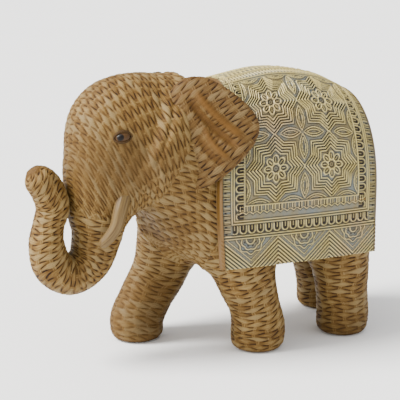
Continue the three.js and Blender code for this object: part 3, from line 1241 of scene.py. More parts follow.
@dataclass
class Ear:
    """One ear: a leaf with a rolled rim, woven across its two folds.

    Attributes:
        side: Which side it is on.
        root: The point that the leaf's plane is measured from, on the left side.
        yaw: How far the leaf stands off the flank.
        pitch: How far it is tilted up towards its far edge.
        outline: (out, up) points of its rim in that plane.
        thickness: Its thickness inside the rim.
        heart: The point of the plane that its rings close on.
        row: A strand's height.
        stake: The distance between stakes.
        slant: The strands' slope in the plane.
        weave: The relief.
        around: Columns of the mesh, round the rim.
        rings: Rows of the mesh on each face.
        off_true: How far the right ear sits from the left one's mirror image.
    """

    side: Side
    root: tuple[float, float, float] = (-40, -34, 151)
    yaw: float = math.radians(25)
    pitch: float = math.radians(5.5)
    outline: tuple[tuple[float, float], ...] = (
        (-4, 12), (-1, 28), (9, 36.5), (21, 37), (32, 31.5), (43, 22.5), (52, 11), (54, 2),
        (50, -7), (41, -16), (29, -25), (16, -32), (5, -32), (-3, -20), (-5, -4),
    )
    thickness: float = 4.6
    heart: tuple[float, float] = (22.0, 2.0)
    row: float = 2.85
    stake: float = 9.0
    slant: float = math.radians(31)
    weave: Weave = Weave(relief=0.75, seed=9.0)
    around: int = 470
    rings: int = 84
    off_true: tuple[float, float, float] = (2.0, 0.0, -3.0)

    def rim(self) -> np.ndarray:
        """Rounds the outline with a closed Catmull-Rom curve.

        Returns:
            Evenly spaced (out, up) points, one for each column of the mesh.
        """
        knots = np.array(self.outline, float)
        looped = np.vstack([knots[-2:], knots, knots[:3]])
        spans = len(looped) - 1
        t = np.linspace(2 / spans, (len(knots) + 2) / spans, 4000)
        curve = spline(looped, t)[0]
        run = np.append(0.0, np.cumsum(np.linalg.norm(np.diff(curve, axis=0), axis=1)))
        at = np.linspace(0.0, run[-1], self.around, endpoint=False)
        return np.stack([np.interp(at, run, curve[:, k]) for k in (0, 1)], axis=1)

    def fold(
        self,
        out: np.ndarray,
        up: np.ndarray,
        start: tuple[float, float],
        end: tuple[float, float],
        half: float,
    ) -> np.ndarray:
        """Raises a fold along a slightly sagging line between two points.

        Args:
            out: The grid's places out along the plane.
            up: Its places up the plane.
            start: (out, up) of the fold's start.
            end: (out, up) of its end.
            half: Half its width.

        Returns:
            Heights from 0 to 1, 1 on the line.
        """
        first, line = np.array(start), np.array(end) - np.array(start)
        length = float(np.hypot(*line))
        along = ((out - first[0]) * line[0] + (up - first[1]) * line[1]) / length
        off = ((out - first[0]) * line[1] - (up - first[1]) * line[0]) / length
        sag = off - 1.6 * np.sin(np.pi * np.clip(along / length, 0, 1))
        ends = smoothstep(along, -5.0, 5.0) * smoothstep(-along, -length - 5.0, -length + 4.0)
        return ridge(sag, half) * ends

    def bow(self, out: np.ndarray, up: np.ndarray) -> tuple[np.ndarray, np.ndarray]:
        """Finds how the leaf stands off its plane.

        The root tucks in as an exponential, the top leans in as a square, and the lower lobe
        swells as half a sine wave. Two smooth folds with a valley below each run out and down.

        Args:
            out: The grid's places out along the plane.
            up: Its places up the plane.

        Returns:
            The distance off the plane, and how high on a fold (or deep in a valley, negative)
            each point is.
        """
        tuck = -9 * np.exp(-(out + 5) / 4.5)
        crown = np.where(up > 0, -10 * (up / 36) ** 2, 0.0)
        lap = 7 * np.sin(np.pi * np.clip((out - 4) / 56, 0, 1)) * smoothstep(-up, -8, 14)
        upper = self.fold(out, up, (17, 27), (41, -0.5), 4.0)
        lower = self.fold(out, up, (19, 5), (32, -14), 3.4)
        upper_valley = self.fold(out, up, (12, 22.5), (37, -6), 4.0)
        lower_valley = self.fold(out, up, (15, 0), (28, -17), 3.4)
        high, deep = upper + 0.75 * lower, upper_valley + 0.7 * lower_valley
        return tuck + crown + lap + 1.9 * high - 2.0 * deep, high - deep

    def axes(self) -> tuple[np.ndarray, np.ndarray, np.ndarray]:
        """Finds the leaf's directions.

        Returns:
            The unit directions out along the plane, up it, and off its outer face.
        """
        level = math.cos(self.pitch)
        outwards = np.array(
            [math.cos(self.yaw) * level, -math.sin(self.yaw) * level, math.sin(self.pitch)]
        )
        face = np.array([-math.sin(self.yaw), -math.cos(self.yaw), 0.0])
        upwards = np.cross(outwards, face)
        return outwards, upwards * np.sign(upwards[2]), face

    def build(self, paint: bpy.types.Material) -> bpy.types.Object:
        """Builds and dresses the ear, in rings from the middle of one face to that of the other.

        Args:
            paint: The paint over the weave.

        Returns:
            The piece.
        """
        turn = np.pi * (0.004 + 0.992 * np.linspace(0, 1, 2 * self.rings))
        outer = np.cos(turn)[:, None] > 0
        spread = np.sin(turn) ** 0.75
        at = (self.rim() - self.heart)[None] * spread[:, None, None] + np.array(self.heart)
        out, up = at[..., 0], at[..., 1]
        stand, fold = self.bow(out, up)
        half = np.clip(np.cos(turn) * 1.5, -1, 1)[:, None] * (self.thickness / 2)
        half = half * (1.0 + ridge(1.0 - spread[:, None], 0.16) * 0.55)
        outwards, upwards, face = self.axes()
        skin = np.array(self.root) + out[..., None] * outwards + up[..., None] * upwards
        skin = skin + (stand + half)[..., None] * face
        along = out * math.cos(self.slant) + up * math.sin(self.slant)
        across = up * math.cos(self.slant) - out * math.sin(self.slant)
        sway = 0.3 * np.sin(0.12 * along + 1) + 0.3 * np.sin(0.1 * across)
        u = along / self.stake + 0.3 * np.sin(0.1 * across + 2)
        v = across / self.row + sway
        height, tone = self.weave.press(u, v)
        smooth = np.clip(np.abs(fold) * 1.15, 0, 1) * outer
        hem = smoothstep(spread[:, None], 0.9, 0.995)
        rub = (1 - 0.8 * smooth) * (1 - 0.25 * hem)
        skin = skin + outward_from(skin) * ((height - 0.45) * self.weave.relief * rub)[..., None]
        if self.side is Side.RIGHT:
            skin = (skin + np.array(self.off_true)) * np.array([1.0, -1.0, 1.0])
        # Painted shade: the fold valleys get a lower relief than the ridges (0.34 against 0.5) and less
        # warm colour, so they are painted darker.
        valley = np.clip(-fold, 0, 1) * outer
        rubbed = 0.5 * (1 - rub) * (fold > 0) + 0.34 * (1 - rub) * (fold <= 0)
        relief = np.clip(height * rub + rubbed, 0, 1)
        relief = np.where(outer, relief, 0.35 + 0.65 * relief)  # painted light: the inner face is painted lighter, to offset the shade it sits in
        uv = np.stack([along, v * self.row], axis=-1)
        warm = np.clip(0.9 * smooth - 0.4 * valley, 0, 1)
        attributes = {"relief": relief, "tone": tone * rub, "warm": warm}
        piece = tube_piece(f"ear_{self.side.word}_woven", skin, attributes, uv)
        piece.data.materials.append(paint)
        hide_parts(f"ear_{self.side.word}")
        return piece


def outward_from(points: np.ndarray) -> np.ndarray:
    """Gives the normals of a closed, flattened grid, pointing away from its middle on both faces."""
    normals = grid_normals(points, True)
    return normals * np.sign((normals * (points - points.mean(axis=(0, 1)))).sum(axis=-1).mean())


@dataclass
class Tusk:
    """One tusk: a blunt bar on a curve, painted darker round its root.

    Attributes:
        side: Which side it is on.
        knots: Points on its middle line, on the left side.
        radius: Its radius at the root.
        tuck: How far the right tusk's tip is drawn back and inwards; the pair is not even.
        length: Its length, which sets the streaks' scale.
        grid: Rows and columns of the mesh.
    """

    side: Side
    knots: tuple[tuple[float, float, float], ...] = (
        (-64, -17, 128), (-71, -24, 119), (-76.5, -28, 108), (-79.5, -28, 98),
        (-84, -26, 90.5), (-89, -23.5, 85),
    )
    radius: float = 4.9
    tuck: tuple[float, float, float] = (6.0, 5.5, 1.0)
    length: float = 42.0
    grid: tuple[int, int] = (90, 48)

    def line(self) -> np.ndarray:
        """Gives the knots of this tusk's middle line, mirrored to the left side.

        Returns:
            Points, one a row.
        """
        knots = np.array(self.knots, float)
        if self.side is Side.RIGHT:
            knots = knots + np.linspace(0, 1, len(knots))[:, None] * np.array(self.tuck)
        return knots

    def build(self, paint: bpy.types.Material) -> bpy.types.Object:
        """Builds the tusk: a circle carried along the curve, less a taper and a round tip.

        Args:
            paint: The tusk's paint.

        Returns:
            The piece.
        """
        rows, columns = self.grid
        t = np.linspace(0, 1, rows)
        middle, slope = spline(self.line(), t)
        along = unit(slope)
        first = unit(np.cross(np.array([0.0, 1.0, 0.0]), along))
        second = np.cross(along, first)
        a = np.arange(columns) * (2 * np.pi / columns)
        tip = np.sqrt(np.clip(1 - ((t - 0.9) / 0.1) ** 2, 0, 1))
        taper = self.radius * (1 - 0.4 * t**2.2) * np.where(t > 0.9, tip, 1.0)
        flute = 1 + 0.02 * np.sin(7 * a + 1.3)[None, :] + 0.012 * np.sin(13 * a)[None, :]
        ring = np.maximum(taper, 0.05)[:, None] * flute
        skin = middle[:, None] + first[:, None] * (ring * np.cos(a))[..., None]
        skin = skin + second[:, None] * (ring * np.sin(a))[..., None]
        if self.side is Side.RIGHT:
            skin = skin * np.array([1.0, -1.0, 1.0])
        uv = np.stack(np.broadcast_arrays(t[:, None] * self.length, a[None] * self.radius), axis=-1)
        root = np.broadcast_to(smoothstep(-t, -0.27, -0.2)[:, None], self.grid)
        piece = tube_piece(f"tusk_{self.side.word}_painted", skin, {"root": root}, uv)
        piece.data.materials.append(paint)
        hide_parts(f"tusk_{self.side.word}")
        return piece


@dataclass
class Eye:
    """One almond eye with its lids.

    Attributes:
        side: Which side it is on.
        at: The eyeball's middle, on the left side.
        size: The eyeball's reach along the face, out of it, and up.
        outwards: The direction that it looks, on the left side.
        tilt: How far its upright leans back, for 1 up.
        pupil: The pupil's middle along the face and up, from the eyeball's.
        almond: The lids' reach along the face and up.
        lid_tone: The relief and tone that the lids are painted for.
        lid_wash: How much dark wash the lids have.
    """

    side: Side
    at: tuple[float, float, float] = (-75.5, -31.0, 155.0)
    size: tuple[float, float, float] = (4.7, 2.4, 3.0)
    outwards: tuple[float, float, float] = (-0.36, -0.88, 0.3)
    tilt: float = -0.2
    pupil: tuple[float, float] = (1.6, 0.1)
    almond: tuple[float, float] = (5.6, 3.4)
    lid_tone: float = 0.26
    lid_wash: float = 0.3

    def axes(self) -> tuple[np.ndarray, np.ndarray, np.ndarray]:
        """Finds the eye's directions, on the left side.

        Returns:
            The unit directions forward along the face, up it, and out of it.
        """
        out = unit(np.array(self.outwards))
        forward = unit(np.cross(out, np.array([self.tilt, 0.0, 1.0])))
        return forward, np.cross(forward, out), out

    def mirrored(self, points: np.ndarray) -> np.ndarray:
        """Puts left-side points on this eye's side."""
        return points * np.array([1.0, float(-self.side.value), 1.0])

    def eyeball(self, paint: bpy.types.Material) -> None:
        """Builds the eyeball, an ellipsoid with the pupil's place as an attribute.

        Args:
            paint: The eye's paint.
        """
        forward, up, out = self.axes()
        t = np.linspace(0.01, 0.99, 40) * np.pi
        a = np.arange(48) * (2 * np.pi / 48)
        x = np.sin(t)[:, None] * np.cos(a)[None] * self.size[0]
        z = np.sin(t)[:, None] * np.sin(a)[None] * self.size[2]
        depth = np.cos(t)[:, None] * self.size[1]
        ball = np.array(self.at) + x[..., None] * forward + z[..., None] * up + depth[..., None] * out
        pupil = smoothstep(-np.hypot(x - self.pupil[0], z - self.pupil[1]), -2.5, -1.9)
        piece = tube_piece(f"eye_{self.side.word}_painted", self.mirrored(ball), {"pupil": pupil})
        piece.data.materials.append(paint)
        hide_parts(f"eye_{self.side.word}")

    def lids(self, paint: bpy.types.Material) -> None:
        """Builds the lids: a ring of round section on an almond, which follows the cheek's curve.

        Args:
            paint: The skin's paint.
        """
        forward, up, out = self.axes()
        b = np.linspace(0, 2 * np.pi, 96, endpoint=False)
        wide, tall = self.almond
        along, high = wide * np.cos(b), tall * np.sin(b) * (0.72 + 0.28 * np.sin(b) ** 2)
        lift = 0.9 - 0.045 * along**2
        line = np.array(self.at) + along[:, None] * forward + high[:, None] * up + lift[:, None] * out
        thick = (0.75 + 0.35 * (np.sin(b) > 0) * np.abs(np.sin(b)))[:, None]
        c = np.arange(14) * (2 * np.pi / 14)
        radial = unit(along[:, None] * forward + high[:, None] * up)
        tube = line[:, None] + (thick * np.cos(c))[..., None] * radial[:, None]
        tube = tube + (thick * np.sin(c))[..., None] * out
        count = len(b) * len(c)
        ids = np.arange(count).reshape(len(b), len(c))
        beside, ahead = np.roll(ids, -1, 1), np.roll(ids, -1, 0)
        quads = np.stack([ids, beside, np.roll(beside, -1, 0), ahead], axis=-1).reshape(-1, 4)
        tone, wash = np.full(count, self.lid_tone), np.full(count, self.lid_wash)
        lids = make_piece(
            f"eyelids_{self.side.word}",
            self.mirrored(tube.reshape(-1, 3)),
            quads,
            np.zeros((0, 3), int),
            {"relief": tone, "tone": tone, "warm": wash},
            np.zeros((count, 2)),
        )
        lids.data.materials.append(paint)

    def build(self, paint: bpy.types.Material, skin: bpy.types.Material) -> None:
        """Builds the eyeball and the lids round it.

        Args:
            paint: The eye's paint.
            skin: The skin's paint.
        """
        self.eyeball(paint)
        self.lids(skin)


# ---------------------------------------------------------------- the blanket


@dataclass
class Relief:
    """The blanket's relief as it is drawn.

    Attributes:
        height: How high each place stands, from 0 to 1; the ground is GROUND.
        gilt: How much gold it has.
        dirt: How much brown it has.
    """

    height: np.ndarray
    gilt: np.ndarray
    dirt: np.ndarray

    @classmethod
    def flat(cls, shape: tuple[int, int]) -> "Relief":
        """Starts with flat ground."""
        return cls(np.full(shape, GROUND), np.zeros(shape), np.zeros(shape))

    def line(self, distance: np.ndarray, half: float, where: np.ndarray, groove: float = 0.8) -> None:
        """Raises a gilt line where distance is near 0, with a dirty groove along both sides.

        Args:
            distance: How far each place is from the line's middle.
            half: Half the line's width.
            where: Mask of the places that may be drawn on.
            groove: How deep the grooves are, from 0 to 1.
        """
        crest = ridge(distance, half) * where
        side = ridge(np.abs(distance) - 1.75 * half, 0.85 * half) * where * groove
        self.height = np.maximum(self.height - 0.35 * side, crest)
        self.gilt = np.maximum(self.gilt * (1 - side), crest)
        self.dirt = np.maximum(self.dirt, side) * (1 - crest)

    def pit(self, amount: np.ndarray) -> None:
        """Sinks and darkens the ground.

        Args:
            amount: How much, from 0 to 1.
        """
        self.height = self.height * (1 - amount)
        self.gilt = self.gilt * (1 - amount)
        self.dirt = np.maximum(self.dirt, amount)


GROUND = 0.35  # the height of the blanket's ground between its lines


@dataclass
class Blanket:
    """The embossed saddle blanket, an arch swept along the back.

    Attributes:
        stations: (x, height of the spine, half width, height where the sides hang straight).
        hem: Height of the front corner of the hem.
        hem_rise: How much the hem climbs for each millimetre towards the rump.
        sweep: How far the front edge runs back near the spine.
        nod: How far it leans forwards on its way up.
        thickness: The shell's thickness.
        drop: The pattern's length from the hem to the spine.
        relief: The height of the embossing.
        cell: The medallions' spacing.
        panel_foot: The panel's lower edge, above the hem.
        period: The zigzag's spacing.
        zone: The zigzag's height.
        pitch: The distance between the mesh's rows.
        columns: Columns of the mesh, from the front edge to the rear.
        back_grid: Rows and columns of the shell's inner face.
        inside: A point within the arch, from which faces point away.
    """

    stations: tuple[tuple[float, float, float, float], ...] = (
        (-14, 183.5, 50.5, 112),
        (10.8, 186.9, 52, 112),
        (35.6, 189.6, 52.5, 112),
        (60.4, 188.6, 52.5, 111),
        (85.2, 183.6, 51.6, 108),
        (110, 172.5, 50.3, 104),
    )
    hem: float = 65.0
    hem_rise: float = -0.025
    sweep: float = 28.0
    nod: float = 8.0
    thickness: float = 5.6
    drop: float = 156.0
    relief: float = 1.45
    cell: float = 46.0
    panel_foot: float = 43.0
    period: float = 41.33
    zone: float = 19.5
    pitch: float = 0.445
    columns: int = 300
    back_grid: tuple[int, int] = (40, 24)
    inside: tuple[float, float, float] = (50.0, 0.0, 100.0)

    @property
    def span(self) -> float:
        """The pattern's length from the front edge to the rear."""
        return self.stations[-1][0] - self.stations[0][0]

    @property
    def crown(self) -> float:
        """The panel's upper edge, above the hem."""
        return self.panel_foot + 2 * self.cell

    def arches(self, x_count: int) -> tuple[np.ndarray, np.ndarray, np.ndarray]:
        """Samples the left half of each arch from the hem to the spine.

        Below the spring the side is straight. Above it, the arch is half a superellipse of power
        2.25. The front end moves back by (1 - t)^2 (sweep h^4 - nod h), with h from 0 at the hem
        to 1 at the spine.

        Args:
            x_count: How many arches there are from the front to the rear.

        Returns:
            Points (x stations, samples, 3), the distance along each arch from its hem, and t.
        """
        t = np.linspace(0, 1, x_count)
        table = np.array(self.stations, float)
        x, top, half, spring = spline(table, t)[0].T
        foot = self.hem + self.hem_rise * (x - table[0, 0])
        straight = np.linspace(0, 1, 60)[:-1]
        angle = np.linspace(0, np.pi / 2, 400)
        power = 2 / 2.25
        y = np.concatenate([np.ones_like(straight), np.cos(angle) ** power])
        rise = np.concatenate([np.zeros_like(straight), np.sin(angle) ** power])
        low = np.concatenate([straight, np.ones_like(angle)])
        z = foot[:, None] + (spring - foot)[:, None] * low + (top - spring)[:, None] * rise
        h = (z - foot[:, None]) / (top - foot)[:, None]
        swept = (1 - t[:, None]) ** 2 * (self.sweep * h**4 - self.nod * h)
        points = np.stack([x[:, None] + swept, -half[:, None] * y, z], axis=-1)
        run = np.cumsum(np.linalg.norm(np.diff(points[..., 1:], axis=1), axis=-1), axis=1)
        return points, np.concatenate([np.zeros((x_count, 1)), run], axis=1), t

    def patch(self, x_count: int, rows: np.ndarray) -> tuple[np.ndarray, np.ndarray, np.ndarray]:
        """Lays the pattern's grid on the left half.

        The lowest part keeps its true height above the hem, and the rest is stretched to reach
        the spine at drop. Rows past drop are mirrored on to the right half.

        Args:
            x_count: How many columns run from the front to the rear.
            rows: The pattern's heights above the hem.

        Returns:
            Points (rows, columns, 3), and the pattern's coordinates along and up.
        """
        points, run, t = self.arches(x_count)
        folded = np.where(rows > self.drop, 2 * self.drop - rows, rows)
        above = np.maximum(folded - self.panel_foot, 0.0)
        made = []
        for arch, length in zip(points, run):
            scale = (length[-1] - self.panel_foot) / (self.drop - self.panel_foot)
            at = np.where(folded < self.panel_foot, folded, self.panel_foot + above * scale)
            made.append(np.stack([np.interp(at, length, arch[:, k]) for k in range(3)], axis=1))
        grid = np.stack(made, axis=1)
        grid[rows > self.drop, :, 1] *= -1
        along = np.broadcast_to(t * self.span, grid.shape[:2])
        return grid, along, np.broadcast_to(rows[:, None], grid.shape[:2])

    def medallions(self, art: Relief, x: np.ndarray, y: np.ndarray, where: np.ndarray) -> None:
        """Draws a square tiling of eight-pointed stars round flowers, with four-petal knots between.

        A star's outline is a straight line in each sixteenth of a turn, so its nested outlines
        are lines of constant r cos(43 deg - a), with a folded into 0 to 22.5 deg. A petal is an
        ellipse, and a knot's petal is a lens along the cell's edge.

        Args:
            art: The relief to draw on.
            x: Distance along the panel.
            y: Distance up the panel.
            where: Mask of the panel.
        """
        cx, cy = (np.mod(k, self.cell) - self.cell / 2 for k in (x, y))
        r = np.hypot(cx, cy)
        a = np.mod(np.arctan2(cy, cx), np.pi / 4)
        a = np.minimum(a, np.pi / 4 - a)
        star = r * np.cos(math.radians(43.0) - a)
        ex, ey = (self.cell / 2 - np.abs(k) for k in (cx, cy))
        run, off = np.maximum(ex, ey), np.minimum(ex, ey)
        lens = off - 3.1 * (1 - ((run - 9.8) / 8.6) ** 2)
        knot = (run < 18.4) & (run > 1.2)
        for c in (9.6, 11.5, 13.4, 15.3, 17.0):
            art.line(star - c, 0.52, where * ((lens > 0.9) | ~knot), 0.95)
        art.line(np.where(knot, lens, 9.0), 0.5, where)
        art.line(np.where(knot, lens + 1.6, 9.0), 0.42, where, 0.9)
        along, across = r * np.cos(a), r * np.sin(a)
        bloom = where * (r < 9.4)
        petal = (np.sqrt(((along - 6.1) / 3.0) ** 2 + (across / 2.15) ** 2) - 1) * 2.1
        art.line(petal, 0.5, bloom)
        art.line(across + 9.0 * ((along < 4.2) | (along > 7.6)), 0.42, bloom * (petal < -0.6), 0.9)
        art.pit(ridge(np.hypot(along - 2.2, across), 0.62) * bloom)
        art.pit(ridge(r, 0.9) * bloom)

    def arch_row(
        self,
        art: Relief,
        along: np.ndarray,
        up: np.ndarray,
        pitch: float,
        depth: float,
        where: np.ndarray,
    ) -> None:
        """Draws a row of round arches, each with a bar inside.

        Args:
            art: The relief to draw on.
            along: Distance along the row.
            up: Distance across it, from the arches' open side.
            pitch: The distance between arches.
            depth: The height of an arch.
            where: Mask of the row.
        """
        a = np.mod(along, pitch) - pitch / 2
        radius = pitch * 0.36
        round_at = depth - radius
        bow = np.where(up > round_at, np.hypot(a, up - round_at), np.abs(a)) - radius
        art.pit(ridge(np.clip(bow + 0.9, 0, 9), 1.2) * where * 0.85)
        art.line(bow, 0.55, where)
        art.line(a + 9.0 * (up > round_at), 0.45, where * (bow < -0.4), 0.8)
        art.pit(ridge(np.hypot(a - np.sign(a) * pitch / 2, up - depth), 0.9) * where)

    def ladder(
        self,
        art: Relief,
        along: np.ndarray,
        up: np.ndarray,
        pitch: float,
        depth: float,
        where: np.ndarray,
    ) -> None:
        """Draws a column of short bars in threes, with a dark notch after each three.

        Args:
            art: The relief to draw on.
            along: Distance along the column.
            up: Distance across it.
            pitch: The distance between one three and the next.
            depth: The column's width.
            where: Mask of the column.
        """
        a = np.mod(along, pitch)
        notch = ridge(np.hypot(a - pitch * 0.16, (up - depth * 0.3) * 0.75), 1.25)
        art.pit(notch * where)
        for k in (0.4, 0.64, 0.88):
            art.line(a - pitch * k, 0.42, where, 0.75)

    def chevrons(self, art: Relief, x: np.ndarray, y: np.ndarray, where: np.ndarray) -> None:
        """Draws the zigzag foot of the blanket: nested chevrons, and half-round rosettes between.

        Args:
            art: The relief to draw on.
            x: Distance along the blanket.
            y: Height above the hem.
            where: Mask of the zone.
        """
        a = np.abs(np.mod(x + self.period / 2, self.period) - self.period / 2)
        depth = self.zone - y - 0.86 * a
        stripes = where * (depth > -1.2)
        art.line(np.mod(depth + 0.9, 2.75) - 0.9, 0.78, stripes, 1.0)
        b = self.period / 2 - a
        r = np.hypot(b, self.zone - y)
        open_ground = where * (depth < -2.2)
        turn = np.arctan2(self.zone - y, b)
        art.pit(ridge(np.clip(r, 0, 9), 3.4) * open_ground * 0.5)
        art.line(r - 3.0, 0.5, open_ground)
        scallop = 6.2 + 0.9 * np.abs(np.sin(turn * 4.0))
        art.line(r - scallop, 0.5, open_ground)
        art.pit(ridge(r - 4.6, 0.9) * ridge(np.mod(turn, np.pi / 4) - np.pi / 8, 0.3) * open_ground)
        art.line(r - 9.4 - 0.7 * np.cos(turn * 8.0), 0.48, open_ground)
        art.line(depth + 3.6, 0.45, where * (depth < -2.2) * (r > 10.5), 0.7)

    def emboss(self, x: np.ndarray, y: np.ndarray) -> Relief:
        """Draws the whole pattern.

        Args:
            x: Distance from the front edge.
            y: Pattern height above the hem, at most the spine's.

        Returns:
            The relief.
        """
        art = Relief.flat(x.shape)
        edge = np.minimum(x, self.span - x)
        self.side_bands(art, y, edge)
        self.foot_bands(art, x, y, edge)
        panel = (edge > 18.0) * (y > self.panel_foot) * (y < self.crown)
        self.medallions(art, (x - 18.0) * (self.cell / 44.0), y - self.panel_foot, panel)
        self.spine_bands(art, x, y, edge)
        self.frames(art, y, edge)
        self.chevrons(art, x, y, y < self.zone + 0.2)
        art.line(edge - 1.2, 0.55, y > 0.0, 0.6)
        return art

    def side_bands(self, art: Relief, y: np.ndarray, edge: np.ndarray) -> None:
        """Draws the ladder along the front and rear edges, and the arches inside it.

        Args:
            art: The relief to draw on.
            y: Pattern height above the hem.
            edge: Distance from the nearer of the front and rear edges.
        """
        above = y > self.zone + 2.6
        self.ladder(art, y, edge - 2.2, 4.7, 4.8, above * (edge > 2.0) * (edge < 6.9))
        beside = above * (y > 33.5) * (y < self.crown + 3) * (edge > 10.2) * (edge < 16.4)
        self.arch_row(art, y, 16.4 - edge, 6.4, 5.4, beside)

    def foot_bands(self, art: Relief, x: np.ndarray, y: np.ndarray, edge: np.ndarray) -> None:
        """Draws the arches above the zigzag, and the row of paired bars above them.

        Args:
            art: The relief to draw on.
            x: Distance from the front edge.
            y: Pattern height above the hem.
            edge: Distance from the nearer of the front and rear edges.
        """
        self.arch_row(art, x, 29.4 - y, 6.25, 5.6, (edge > 8.0) * (y > 22.8) * (y < 29.4))
        band = (edge > 12.0) * (y > 34.6) * (y < 41.8)
        a = np.mod(x, 5.1) - 2.55
        art.line(np.abs(a) - 1.0, 0.42, band * (y > 38.2), 0.9)
        art.line(y - 36.6 - 0.9 * np.abs(a) / 1.3, 0.5, band * (y < 38.4), 0.9)

    def spine_bands(self, art: Relief, x: np.ndarray, y: np.ndarray, edge: np.ndarray) -> None:
        """Draws the slanted beads and the upright bars on both sides of the spine.

        Args:
            art: The relief to draw on.
            x: Distance from the front edge.
            y: Pattern height above the hem.
            edge: Distance from the nearer of the front and rear edges.
        """
        beads = (y > self.crown + 5.2) * (y < self.crown + 10.4)
        art.line(np.mod(x + 0.35 * y, 3.1) - 1.55, 0.55, beads * (edge > 3), 0.9)
        middle = (y > self.crown + 13.6) * (y < self.crown + 19.0)
        art.line(np.mod(x, 4.4) - 2.2, 0.6, middle * (edge > 3), 0.9)

    def frames(self, art: Relief, y: np.ndarray, edge: np.ndarray) -> None:
        """Draws the plain lines that frame the panel and part one band from the next.

        Args:
            art: The relief to draw on.
            y: Pattern height above the hem.
            edge: Distance from the nearer of the front and rear edges.
        """
        framed = np.minimum(edge, y - 22.6)
        within = (y > self.zone + 2.6) * (edge > 7.0) * (y < self.drop) * (framed > 6.8)
        for at in (7.9, 9.5):
            art.line(framed - at, 0.5, within, 0.7)
        inner = np.minimum(edge - 18.0, y - self.panel_foot)
        art.line(inner + 0.9, 0.55, (edge > 16.6) * (y > 41.3) * (y < self.crown), 0.7)
        over_panel = [self.crown + k for k in (1.2, 3.6, 11.6, 12.9, 19.9)]
        over_zigzag = [self.zone + k for k in (1.0, 2.9)]
        for at in over_panel + over_zigzag:
            art.line(y - at, 0.5, edge > 1.5, 0.7)

    def build(self, gilding: bpy.types.Material) -> list[bpy.types.Object]:
        """Builds three shells: the two side panels and the band along the spine.

        Args:
            gilding: The blanket's finish.

        Returns:
            The pieces.
        """
        seam = self.crown + 4.6
        parts = {
            "blanket_left_panel": (0.0, seam),
            "blanket_spine_band": (seam, 2 * self.drop - seam),
            "blanket_right_panel": (2 * self.drop - seam, 2 * self.drop),
        }
        return [self.panel(name, low, high, gilding) for name, (low, high) in parts.items()]

    def panel(self, name: str, low: float, high: float, gilding: bpy.types.Material) -> bpy.types.Object:
        """Builds one shell between two pattern heights.

        The outer face is the arch plus the embossing along its normal, rounded off near the
        blanket's own edges. Three more columns at each end close it down to the inner face.

        Args:
            name: The piece's name.
            low: The pattern height where it starts.
            high: The pattern height where it ends.
            gilding: The blanket's finish.

        Returns:
            The piece.
        """
        count = int((high - low) / self.pitch)
        grid, x, y = self.patch(self.columns, np.linspace(low, high, count))
        normal = grid_normals(grid, False)
        normal = normal * np.sign((normal * (grid - np.array(self.inside))).sum(axis=-1).mean())
        art = self.emboss(x, np.where(y > self.drop, 2 * self.drop - y, y))
        edge = np.minimum(x, self.span - x)
        has_hem = low == 0.0 or high == 2 * self.drop
        near = np.minimum(edge, np.minimum(y, 2 * self.drop - y)) if has_hem else edge
        bevel = np.clip(1 - near / 0.9, 0, 1) ** 2 * 0.8
        outer = grid + normal * ((art.height - GROUND) * self.relief - bevel)[..., None]
        inner = grid - normal * self.thickness
        depths = (0.35, 0.75, 1.0)
        body = self.closed(outer, inner, depths)
        beyond = ((0, 0), (len(depths), len(depths)))
        gilt, dirt, x, y = (np.pad(k, beyond, mode="edge") for k in (art.gilt, art.dirt, x, y))
        rim = np.pad(np.clip((1.75 - edge) / 0.35, 0, 1), beyond, constant_values=1.0)
        pick_r = np.round(np.linspace(0, count - 1, self.back_grid[0])).astype(int)
        pick_c = np.round(np.linspace(0, self.columns - 1, self.back_grid[1])).astype(int)
        attributes = {"gilt": gilt * (1 - rim), "dirt": dirt * (1 - rim), "rim": rim}
        back = inner[np.ix_(pick_r, pick_c)]
        piece = shell_piece(name, body, back, attributes, np.stack([x, y], axis=-1))
        piece.data.materials.append(gilding)
        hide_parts("saddle_blanket")
        return piece

    @staticmethod
    def closed(outer: np.ndarray, inner: np.ndarray, depths: tuple[float, ...]) -> np.ndarray:
        """Carries a shell's outer face down its front and rear edges.

        Args:
            outer: The outer face, rows by columns by 3.
            inner: The inner face, in the same shape.
            depths: How far down each added column lies: 0 is the outer face and 1 the inner.

        Returns:
            The outer face with a column for each depth added at both ends.
        """
        front, rear = (
            [inner[:, k] + (outer[:, k] - inner[:, k]) * (1 - d) for d in depths]
            for k in (slice(0, 1), slice(-1, None))
        )
        return np.concatenate([*reversed(front), outer, *rear], axis=1)


# ---------------------------------------------------------------- the studio


